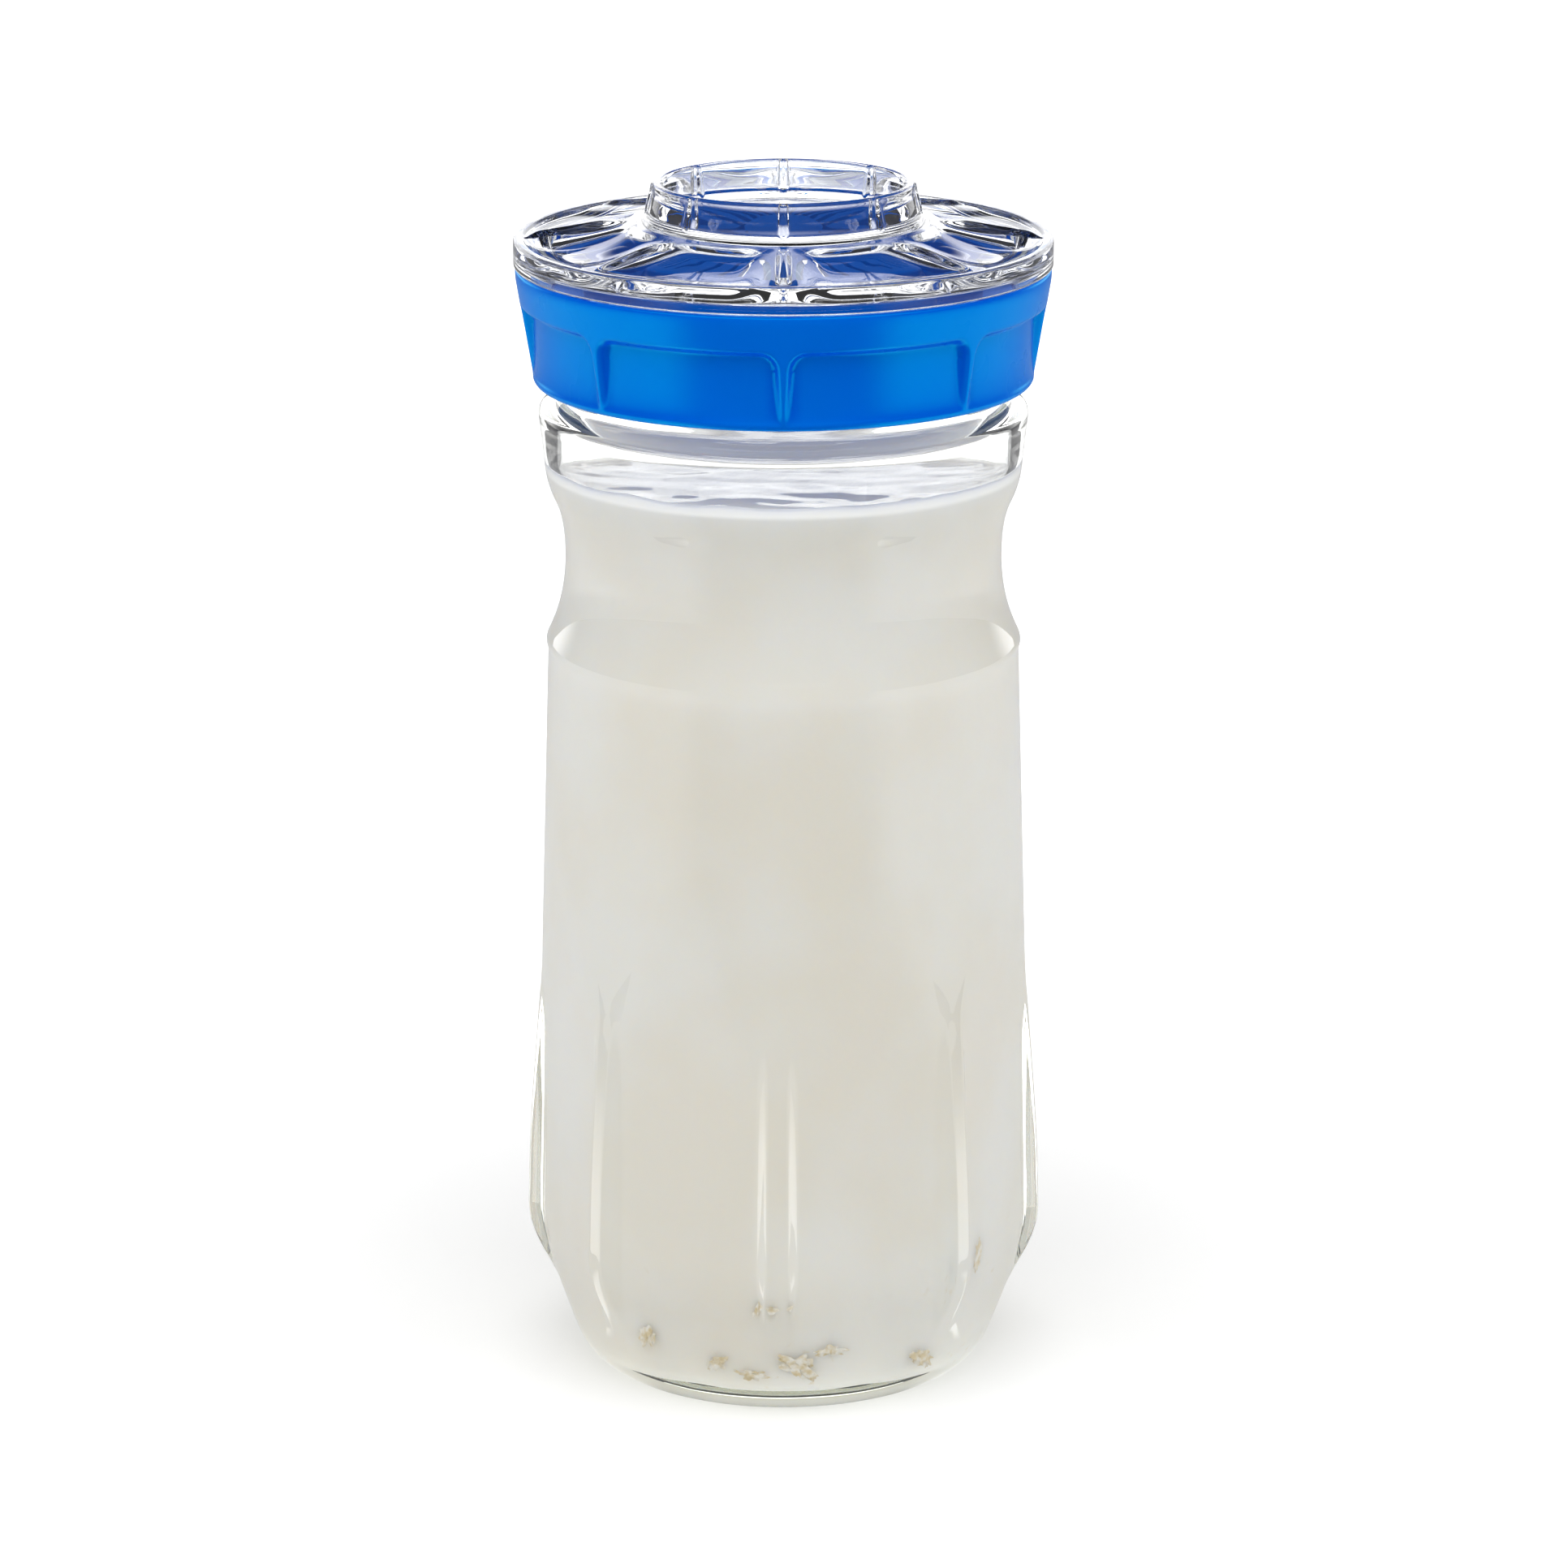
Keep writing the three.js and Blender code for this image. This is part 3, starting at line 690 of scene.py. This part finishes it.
class JAR_OT_grains(bpy.types.Operator):
    """Settle the kefir grains against the glass"""
    bl_idname = "jar.grains"
    bl_label = "Kefir Grains"

    def execute(self, context):
        material = soft_curd(context.scene.jar_kefir)
        for index, grain in enumerate(GRAINS, start=1):
            bm = bmesh.new()
            bmesh.ops.create_icosphere(bm, subdivisions=4, radius=1)
            self.swell(bm, grain, index)
            finish_piece(f"curd_{index}", welded(bm), material, "jar", [f"kefir_grain_{index}"])
        return {"FINISHED"}

    @staticmethod
    def swell(bm, grain, index):
        """Makes a ball a lumpy, flattened grain with its face against the glass."""
        turn, height, length = grain
        seed = Vector((index * 7.3, index * 3.1, index * 5.7))
        for vert in bm.verts:
            lumps = noise.fractal(vert.co * 1.7 + seed, 0.7, 2.0, 5)
            vert.co *= 1 + 0.9 * lumps
        half = length / 2 * MM
        bmesh.ops.scale(bm, verts=bm.verts, vec=(1.3 * half, 0.14 * half, 0.6 * half))
        bmesh.ops.rotate(bm, verts=bm.verts, cent=(0, 0, 0), matrix=Matrix.Rotation(0.8 * index, 3, "Y"))
        wall = glass_inside_radius(height) + 0.05
        bmesh.ops.translate(bm, verts=bm.verts, vec=(0, -wall * MM, height * MM))
        spin = Matrix.Rotation(math.radians(turn) + JAR_TURN, 3, "Z")
        bmesh.ops.rotate(bm, verts=bm.verts, cent=(0, 0, 0), matrix=spin)


def glass_inside_radius(height):
    """Radius of the glass's inside at a height on the chamfer or the lower body."""
    low, start = INNER_HEEL
    corner, end = INNER_CORNER
    if height < end:
        return low + (corner - low) * (height - start) / (end - start)
    left = 1 - clamp((height - end) / (INNER_CORNER_TOP - end))
    return INNER_BODY - (INNER_BODY - corner) * left ** 2


# Silicone rings

class JAR_OT_rings(bpy.types.Operator):
    """Turn the gasket on the jar's mouth and the seal in the cap's groove"""
    bl_idname = "jar.rings"
    bl_label = "Silicone Rings"

    def execute(self, context):
        material = pale_silicone()
        self.ring("mouth_gasket", material, "gasket", "jar_gasket", 38.4)
        self.ring("groove_seal", material, "seal", "cap_seal", 45.2)
        return {"FINISHED"}

    @staticmethod
    def ring(name, material, body, node, inner):
        """A ring with rounded edges that fills its node's box."""
        low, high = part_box(node)
        outer, bottom, top = high.x / MM, low.z / MM, high.z / MM
        soft = 0.4
        wire = Outline((outer, bottom + soft))
        wire.to((outer, top - soft)).curve((outer, top), (outer - soft, top), 4)
        wire.to((inner + soft, top)).curve((inner, top), (inner, top - soft), 4)
        wire.to((inner, bottom + soft)).curve((inner, bottom), (inner + soft, bottom), 4)
        wire.to((outer - soft, bottom)).curve((outer, bottom), (outer, bottom + soft), 4)
        finish_piece(name, welded(wire.spin(20)), material, body, [node])


# Collar

def panelled(depth):
    """The moves that sink the collar's panels under its band and leave a tapering rib between them."""
    foot = COLLAR_FOOT + PANEL["gone"]

    def shape(point):
        angle, radius, height = polar(point)
        angle = drawn_to_ribs(angle)
        share = clamp((height - foot) / (COLLAR_LEDGE - foot))
        from_side = from_rib(angle) * radius - PANEL["tip"] - (PANEL["rib"] - PANEL["tip"]) * share
        from_top = COLLAR_LEDGE - height
        corner = PANEL["corner"]
        short = math.hypot(max(0, corner - from_side), max(0, corner - from_top))
        inward = corner - short if short > 0 else min(from_side, from_top)
        inward = min(inward, corner)
        sink = depth * share ** 0.6 * ease(inward, -0.3 * PANEL["edge"], PANEL["edge"])
        return from_polar(angle, radius - sink, height)

    return shape


class JAR_OT_collar(bpy.types.Operator):
    """Turn the blue screw collar"""
    bl_idname = "jar.collar"
    bl_label = "Screw Collar"

    def execute(self, context):
        settings = context.scene.jar_lid
        web, low, inner = COLLAR_WEB["high"], COLLAR_WEB["low"], COLLAR_WEB["inner"]
        rim = (COLLAR_SEAT, COLLAR_TOP - 0.4)
        wire = Outline((COLLAR_BORE, COLLAR_FOOT), longest=0.45)
        wire.to((45.2, COLLAR_FOOT)).curve((46.6, COLLAR_FOOT), FLARE_FOOT, 8)
        wire.to(FLARE_TOP).curve((COLLAR_LIP, COLLAR_TOP - 1.8), (COLLAR_LIP, COLLAR_TOP - 0.6), 4)
        wire.curve((COLLAR_LIP, COLLAR_TOP), (COLLAR_LIP - 0.6, COLLAR_TOP), 4)
        wire.to((COLLAR_SEAT + 0.4, COLLAR_TOP)).curve((COLLAR_SEAT, COLLAR_TOP), rim, 3)
        inside = Outline(rim, longest=0.6)
        inside.to((COLLAR_SEAT, web + 0.5)).curve((COLLAR_SEAT, web), (COLLAR_SEAT - 0.5, web), 3)
        inside.to((inner + 0.3, web)).curve((inner, web), (inner, web - 0.3), 3)
        inside.to((inner, low), (COLLAR_BORE, low), (COLLAR_BORE, COLLAR_FOOT))
        bm = welded(wire.spin(40, panelled(settings.panel_depth / MM)), inside.spin(40, self.threaded))
        # The collar's blue carries painted shade in its panel recesses beside the ribs
        blue = blue_plastic(settings.blue, "gloss_blue", 0.25, 0.19, self.recess_shade)
        finish_piece("collar_moulding", bm, blue, "collar", ["screw_collar"])
        return {"FINISHED"}

    @staticmethod
    def recess_shade(finish):
        """1 where painted shade darkens a panel's recess beside a rib."""
        spot = finish.place()
        flat = finish.node("ShaderNodeVectorMath", {"operation": "MULTIPLY"}, {0: spot, 1: (1, 1, 0)})
        radius = finish.node("ShaderNodeVectorMath", {"operation": "LENGTH"}, {0: flat}, output="Value")
        height = finish.node("ShaderNodeSeparateXYZ", None, {0: spot}, output="Z")
        radius_low, low = FLARE_FOOT
        slope = (FLARE_TOP[0] - radius_low) / (FLARE_TOP[1] - low)
        flare = radius_low * MM + (height - low * MM) * slope
        across = finish.node("ShaderNodeSeparateXYZ", None, {0: spot}, output="X")
        depth = finish.node("ShaderNodeSeparateXYZ", None, {0: spot}, output="Y")
        angle = across.math("ARCTAN2", across, 0 - depth)
        beside = angle.math("PINGPONG", angle, SECTOR / 2) * radius
        return finish.step(flare - radius, 0.1 * MM, 1.0 * MM) * (1 - finish.step(beside, 0.5 * MM, 4 * MM))

    @staticmethod
    def threaded(point):
        """Raises the thread inwards from the collar's bore."""
        angle, radius, height = polar(point)
        angle = drawn_to_ribs(angle)
        if COLLAR_BORE - 0.1 < radius < COLLAR_BORE + 0.1:
            radius += thread_height(angle, height, COLLAR_THREAD, THREAD["start"] - COLLAR_THREAD["drop"])
        return from_polar(angle, radius, height)


# Strainer

class JAR_OT_strainer(bpy.types.Operator):
    """Press the blue strainer: a slotted plateau in a dish with a flange"""
    bl_idname = "jar.strainer"
    bl_label = "Strainer"

    inner, outer = 9, 25  # where the slots start and end

    def execute(self, context):
        settings = context.scene.jar_lid
        top = STRAINER_TOP
        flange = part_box("strainer")[1].x / MM
        wire = Outline((0, top))
        wire.to((5, top), (self.inner, top), (18, top), (self.outer, top), (26.8, top))
        low, high = STRAINER_FLOOR, FLANGE_TOP
        wire.curve((28, top), (28.1, top - 1.2), 5)
        wire.to((28.6, low + 1)).curve((28.7, low), (29.7, low), 5)
        wire.to((35, low)).curve((36, low), (36.1, low + 1), 5)
        wire.to((36.5, high - 1)).curve((36.6, high), (37.6, high), 5).to((flange, high))
        width = settings.slot_width / MM
        columns = settings.slots * 6 // RIBS
        bm = welded(wire.spin(columns, lambda point: self.beside_slots(point, settings.slots, width)))
        if max(bm.faces, key=lambda face: face.calc_center_median().z).normal.z < 0:
            bmesh.ops.reverse_faces(bm, faces=bm.faces)
        open_faces = [face for face in bm.faces if self.in_slot(face, settings.slots)]
        bmesh.ops.delete(bm, geom=open_faces, context="FACES")
        bmesh.ops.solidify(bm, geom=bm.faces, thickness=STRAINER_WALL * MM)
        # The strainer's colour carries painted shade for the dim hollow under the cap
        blue = blue_plastic(settings.deep_blue, "satin_blue", 0.5)
        finish_piece("strainer_dish", welded(bm), blue, "strainer", ["strainer"])
        return {"FINISHED"}

    def beside_slots(self, point, slots, width):
        """Sets the two columns beside a slot's middle to its straight sides."""
        angle, radius, height = polar(point)
        pitch = 2 * math.pi / slots
        middle = (math.floor(angle / pitch) + 0.5) * pitch
        offset = angle - middle
        if self.inner - 0.1 < radius < self.outer + 0.1 and 0.1 * pitch < abs(offset) < 0.2 * pitch:
            angle = middle + math.copysign(math.asin(width / 2 / radius), offset)
        return from_polar(angle, radius, height)

    def in_slot(self, face, slots):
        angle, radius, height = polar(face.calc_center_median())
        pitch = 2 * math.pi / slots
        offset = abs(angle - (math.floor(angle / pitch) + 0.5) * pitch)
        return self.inner < radius < self.outer and offset < 0.12 * pitch and height > STRAINER_TOP - 0.1


# Clear cap

def dished(radius, away, scallop, outer=DECK["outer"]):
    """How far the cap sinks between two ridges, inside the outer radius."""
    between = clamp((outer - radius) / (outer - DECK["inner"]))
    return scallop * max(0, math.sin(between * math.pi)) ** 0.7 * ease(away, 0, math.radians(14))


def scalloped(settings):
    """The moves that hollow the cap's top between its ridges, and rib its ring."""
    scallop, ridge = settings.scallop / MM, settings.ridge / MM

    def shape(point):
        angle, radius, height = polar(point)
        angle = drawn_to_ribs(angle)
        away = from_rib(angle)
        between = clamp((DECK["outer"] - radius) / (DECK["outer"] - DECK["inner"]))
        if radius > RING["outer"] + 0.2 and height > DECK["low"] - 0.6 and height < RING["floor"] + 1:
            bead = clamp(1 - (away * radius / 1.3) ** 2)
            bead = math.sqrt(bead) * (1 - ease(between, 0.7, 1)) * ease(CAP_RADIUS - radius, 1.4, 5)
            height += ridge * bead - dished(radius, away, scallop)
        if radius < RING["outer"] + 0.2 and RING["floor"] + 1 < height < CAP_TOP - 0.2:
            rib = 0.5 * clamp(1 - (away * radius / 0.8) ** 2)
            radius += rib if radius > (RING["outer"] + RING["inner"]) / 2 else -rib
        return from_polar(angle, radius, height)

    return shape


def hollowed(settings):
    """The moves that let the cap's underside follow the scallops of its top."""
    scallop = settings.scallop / MM

    def shape(point):
        angle, radius, height = polar(point)
        angle = drawn_to_ribs(angle)
        if height > DECK["low"] - 4.5 and radius < HOLLOW_RADIUS + 0.1:
            height -= dished(radius, from_rib(angle), scallop, outer=HOLLOW_RADIUS)
        return from_polar(angle, radius, height)

    return shape


class JAR_OT_cap(bpy.types.Operator):
    """Turn the clear cap, with scallops between its ridges and a ribbed ring round its recess"""
    bl_idname = "jar.cap"
    bl_label = "Clear Cap"

    def execute(self, context):
        settings = context.scene.jar_lid
        low, high = CAP_RIM["low"], CAP_RIM["high"]
        skirt_out, skirt_in, groove = SKIRT["outer"], SKIRT["inner"], SKIRT["groove"]
        wire = Outline((skirt_out, low), longest=1.2)
        wire.to((CAP_RADIUS - 0.5, low)).curve((CAP_RADIUS, low), (CAP_RADIUS, low + 0.5), 4)
        wire.to((CAP_RADIUS, high - 0.85)).curve((CAP_RADIUS, high), (CAP_RADIUS - 0.8, high), 6)
        wire.to((48.6, high)).curve((48.2, high), (47.9, DECK["low"]), 4)
        for step in range(25):
            share = (step / 24) ** 1.5
            radius = DECK["outer"] + (DECK["inner"] - DECK["outer"]) * share
            wire.to((radius, DECK["low"] + DECK["rise"] * share))
        outer, inner = RING["outer"] - RING["draft"], RING["inner"] - RING["draft"]
        wire.curve((RING["outer"], RING["floor"]), (RING["outer"], RING["floor"] + 2), 10)
        wire.to((outer, CAP_TOP - 1)).curve((outer, CAP_TOP), ((outer + RING["inner"]) / 2, CAP_TOP), 9)
        wire.curve((RING["inner"], CAP_TOP), (RING["inner"], CAP_TOP - 1), 9)
        wire.to((inner, RING["floor"] + 0.8)).curve((inner, RING["floor"]), (inner - 0.8, RING["floor"]), 6)
        wire.to((0, RING["floor"]))
        under = Outline((0, CAP_CEILING), longest=1.2)
        under.to((23.6, CAP_CEILING)).curve((24.2, CAP_CEILING), (24.7, CAP_CEILING - 0.2), 3)
        under.to((DECK["inner"], 218.2), (42.4, 215.25))
        under.curve((skirt_in, 215.05), (skirt_in, 214.2), 5).to((skirt_in, CAP_SKIRT + 0.4))
        under.curve((skirt_in, CAP_SKIRT), (skirt_in + 0.4, CAP_SKIRT), 3).to((skirt_out - 0.4, CAP_SKIRT))
        under.curve((skirt_out, CAP_SKIRT), (skirt_out, CAP_SKIRT + 0.4), 3)
        under.to((skirt_out, SKIRT["groove_low"]), (groove, SKIRT["groove_low"]))
        under.to((groove, SKIRT["groove_high"]), (skirt_out, SKIRT["groove_high"]), (skirt_out, low))
        bm = welded(wire.spin(40, scalloped(settings)), under.spin(40, hollowed(settings)))
        finish_piece("cap_moulding", bm, clear_plastic(), "cap", ["clear_cap"])
        return {"FINISHED"}


# Stage

def white_floor():
    """White board that stays white to the camera and keeps the jar's soft shadow.

    Gloss shows it dark in front of the jar, with two bright strips at the sides. The glass shows it
    brighter than white, and it throws a little light up under the jar.
    """
    finish = Finish(bpy.data.materials.new("white_board"))
    spot = finish.place()
    away = finish.node("ShaderNodeVectorMath", {"operation": "LENGTH"}, {0: spot}, output="Value")
    across = finish.node("ShaderNodeSeparateXYZ", None, {0: spot}, output="X")
    depth = finish.node("ShaderNodeSeparateXYZ", None, {0: spot}, output="Y")
    seen = finish.node("ShaderNodeLightPath", output="Is Camera Ray")
    clear = finish.node("ShaderNodeLightPath", output="Is Transmission Ray")
    gloss = finish.node("ShaderNodeLightPath", output="Is Glossy Ray")
    grain = finish.mixed(finish.cloud(6), opaque((0.90, 0.90, 0.90)), opaque((0.92, 0.92, 0.92)))
    board = finish.node("ShaderNodeBsdfDiffuse", None, {"Color": grain})
    dark = finish.node("ShaderNodeBsdfDiffuse", None, {"Color": opaque((0.02, 0.02, 0.02))})
    forward = (0 - depth) / abs(across)  # 0 straight to a side, and more towards the front
    front = finish.step(forward, 0.6, 1.4)
    board = finish.node("ShaderNodeMixShader", None, {0: gloss * front, 1: board, 2: dark})
    strip = finish.step(forward, 0.28, 0.34) * (1 - finish.step(forward, 0.38, 0.44))
    strip = strip * finish.step(away, 0.046, 0.05) * (1 - finish.step(away, 0.085, 0.1))
    # The board's own light makes up for the shade of the lamps, and less of it leaves a shadow by the jar
    white = 0.08 + finish.step(away, 0.035, 0.06) * 0.14 + finish.step(away, 0.06, 0.5) * 0.75
    # A little light comes up through the foot
    under = (1 - seen) * (1 - finish.step(away, 0.03, 0.045))
    glow = seen * white + clear * 1.4 + gloss * strip * 1.7 + under * 0.4
    lift = finish.node("ShaderNodeEmission", None, {"Color": glow})
    return finish.close(finish.node("ShaderNodeAddShader", None, {0: board, 1: lift}))


class JAR_OT_stage(bpy.types.Operator):
    """Lay the floor, light the studio and set the camera"""
    bl_idname = "jar.stage"
    bl_label = "Stage"

    def execute(self, context):
        settings = context.scene.jar_stage
        self.floor()
        self.studio(context.scene, settings)
        target = (CAD_LOW + CAD_HIGH) / 2
        for name, side in (("side_left", -1), ("side_right", 1)):
            place = Vector((0.83 * side, 0.3, 0.38))
            lamp = self.softbox(name, place, target, (0.6, 0.5), settings.softbox)
            lamp.visible_glossy = False
        above = Vector((0, -0.85, 1.2))
        lamp = self.softbox("overhead", above, above + Vector((0, 0, -1)), (2.0, 1.7), settings.overhead)
        lamp.visible_glossy = False
        fill = self.softbox("fill", Vector((0, -1.3, 0.5)), target, (1.4, 0.9), settings.fill)
        fill.visible_glossy = fill.visible_transmission = False

        def dark(finish):
            return finish.node("ShaderNodeBsdfDiffuse", None, {"Color": opaque((0.06, 0.06, 0.07))})

        def bright(finish):
            height = finish.node("ShaderNodeSeparateXYZ", None, {0: finish.place()}, output="Z")
            glow = (1 - finish.step(height, 0.02, 0.055)) * settings.strip
            return finish.node("ShaderNodeEmission", None, {"Color": glow})

        for name, side in (("left", -1), ("right", 1)):
            self.card(f"dark_{name}", side * math.radians(97), 0.36, (1.1, 0.4), "transmission", dark)
            self.card(f"strip_{name}", side * math.radians(70), 0.125, (0.066, 0.056), "glossy", bright)
        self.camera(context.scene, settings)
        context.scene.view_settings.view_transform = "Standard"
        cycles = context.scene.cycles
        cycles.max_bounces = 24
        cycles.transmission_bounces = 24
        cycles.glossy_bounces = 12
        cycles.transparent_max_bounces = 24
        return {"FINISHED"}

    @staticmethod
    def floor():
        bm = bmesh.new()
        bmesh.ops.create_circle(bm, cap_ends=True, segments=96, radius=4)
        mesh = bpy.data.meshes.new("floor")
        bm.to_mesh(mesh)
        bm.free()
        mesh.materials.append(white_floor())
        floor = bpy.data.objects.new("floor", mesh)
        bpy.context.scene.collection.objects.link(floor)

    @staticmethod
    def card(name, angle, radius, size, seen_in, shader):
        """A card that stands on the floor, faces the jar and shows in one kind of ray alone."""
        width, height = size
        bm = bmesh.new()
        bmesh.ops.create_grid(bm, x_segments=1, y_segments=1, size=0.5)
        bmesh.ops.rotate(bm, verts=bm.verts, cent=(0, 0, 0), matrix=Matrix.Rotation(math.pi / 2, 3, "X"))
        bmesh.ops.scale(bm, verts=bm.verts, vec=(width, 1, height))
        bmesh.ops.translate(bm, verts=bm.verts, vec=(0, -radius, height / 2))
        bmesh.ops.rotate(bm, verts=bm.verts, cent=(0, 0, 0), matrix=Matrix.Rotation(angle, 3, "Z"))
        mesh = bpy.data.meshes.new(name)
        bm.to_mesh(mesh)
        bm.free()
        finish = Finish(bpy.data.materials.new(name))
        mesh.materials.append(finish.close(shader(finish)))
        card = bpy.data.objects.new(name, mesh)
        for kind in ("camera", "diffuse", "glossy", "transmission", "volume_scatter", "shadow"):
            setattr(card, f"visible_{kind}", kind == seen_in)
        bpy.context.scene.collection.objects.link(card)

    @staticmethod
    def studio(scene, settings):
        """A dark room with a lit backdrop behind the jar and a pale ceiling over the camera."""
        scene.world = bpy.data.worlds.new("studio")
        finish = Finish(scene.world)
        way = finish.node("ShaderNodeTexCoord", output="Generated")
        depth = finish.node("ShaderNodeSeparateXYZ", None, {0: way}, output="Y")
        height = finish.node("ShaderNodeSeparateXYZ", None, {0: way}, output="Z")
        gloss = finish.node("ShaderNodeLightPath", output="Is Glossy Ray")
        # Gloss sees a narrower, taller backdrop than glass does
        wide, narrow = finish.step(depth, 0.3, 0.6), finish.step(depth, 0.55, 0.8)
        wide = wide * (1 - finish.step(height, 0.23, 0.3))
        narrow = narrow * (1 - finish.step(height, 0.31, 0.39)) * 1.4
        backdrop = gloss * narrow + (1 - gloss) * wide
        ceiling = finish.step(height, 0.5, 0.6) * (1 - finish.step(depth, -0.3, 0.1))
        soft = finish.node("ShaderNodeLightPath", output="Is Diffuse Ray")
        room = settings.room * (0.3 + 0.7 * soft)
        lit = room + backdrop * settings.backdrop + ceiling * settings.ceiling
        seen = finish.node("ShaderNodeLightPath", output="Is Camera Ray")
        light = finish.node("ShaderNodeBackground", None, {"Color": seen + (1 - seen) * lit})
        finish.node("ShaderNodeOutputWorld", None, {"Surface": light})

    @staticmethod
    def softbox(name, place, target, size, brightness):
        """A rectangular light of that brightness, aimed at the jar."""
        light = bpy.data.lights.new(name, "AREA")
        light.shape = "RECTANGLE"
        light.size, light.size_y = size
        light.energy = brightness * math.pi * size[0] * size[1]
        lamp = bpy.data.objects.new(name, light)
        lamp.location = place
        lamp.rotation_euler = (target - place).to_track_quat("-Z", "Y").to_euler()
        lamp.visible_camera = False
        bpy.context.scene.collection.objects.link(lamp)
        return lamp

    @staticmethod
    def camera(scene, settings):
        lens = bpy.data.cameras.new("camera")
        lens.lens = settings.lens
        lens.sensor_width = 36
        camera = bpy.data.objects.new("camera", lens)
        camera.location = settings.camera
        camera.rotation_euler = (math.pi / 2 - settings.pitch, 0, 0)
        scene.collection.objects.link(camera)
        scene.camera = camera


# Sidebar and registration

class JAR_PT_pieces(bpy.types.Panel):
    bl_idname = "JAR_PT_pieces"
    bl_label = "Fermentation Jar"
    bl_space_type = "VIEW_3D"
    bl_region_type = "UI"
    bl_category = "Jar"

    def draw(self, context):
        for operator in OPERATORS:
            self.layout.operator(operator.bl_idname)
        for name, group in SETTINGS.items():
            box = self.layout.box()
            for prop in group.__annotations__:
                box.prop(getattr(context.scene, name), prop)


SETTINGS = {
    "jar_glass": GlassSettings,
    "jar_kefir": KefirSettings,
    "jar_lid": LidSettings,
    "jar_stage": StageSettings,
}
OPERATORS = (
    JAR_OT_stage, JAR_OT_glass, JAR_OT_kefir, JAR_OT_grains,
    JAR_OT_rings, JAR_OT_collar, JAR_OT_strainer, JAR_OT_cap,
)


def register():
    for kind in (*SETTINGS.values(), *OPERATORS, JAR_PT_pieces):
        bpy.utils.register_class(kind)
    for name, group in SETTINGS.items():
        setattr(bpy.types.Scene, name, PointerProperty(type=group))


def unregister():
    for name in SETTINGS:
        delattr(bpy.types.Scene, name)
    for kind in (JAR_PT_pieces, *reversed(OPERATORS), *reversed(SETTINGS.values())):
        bpy.utils.unregister_class(kind)


def main():
    register()
    bpy.ops.jar.stage()
    bpy.ops.jar.glass()
    bpy.ops.jar.kefir()
    bpy.ops.jar.grains()
    bpy.ops.jar.rings()
    bpy.ops.jar.collar()
    bpy.ops.jar.strainer()
    bpy.ops.jar.cap()


if __name__ == "__main__":
    main()
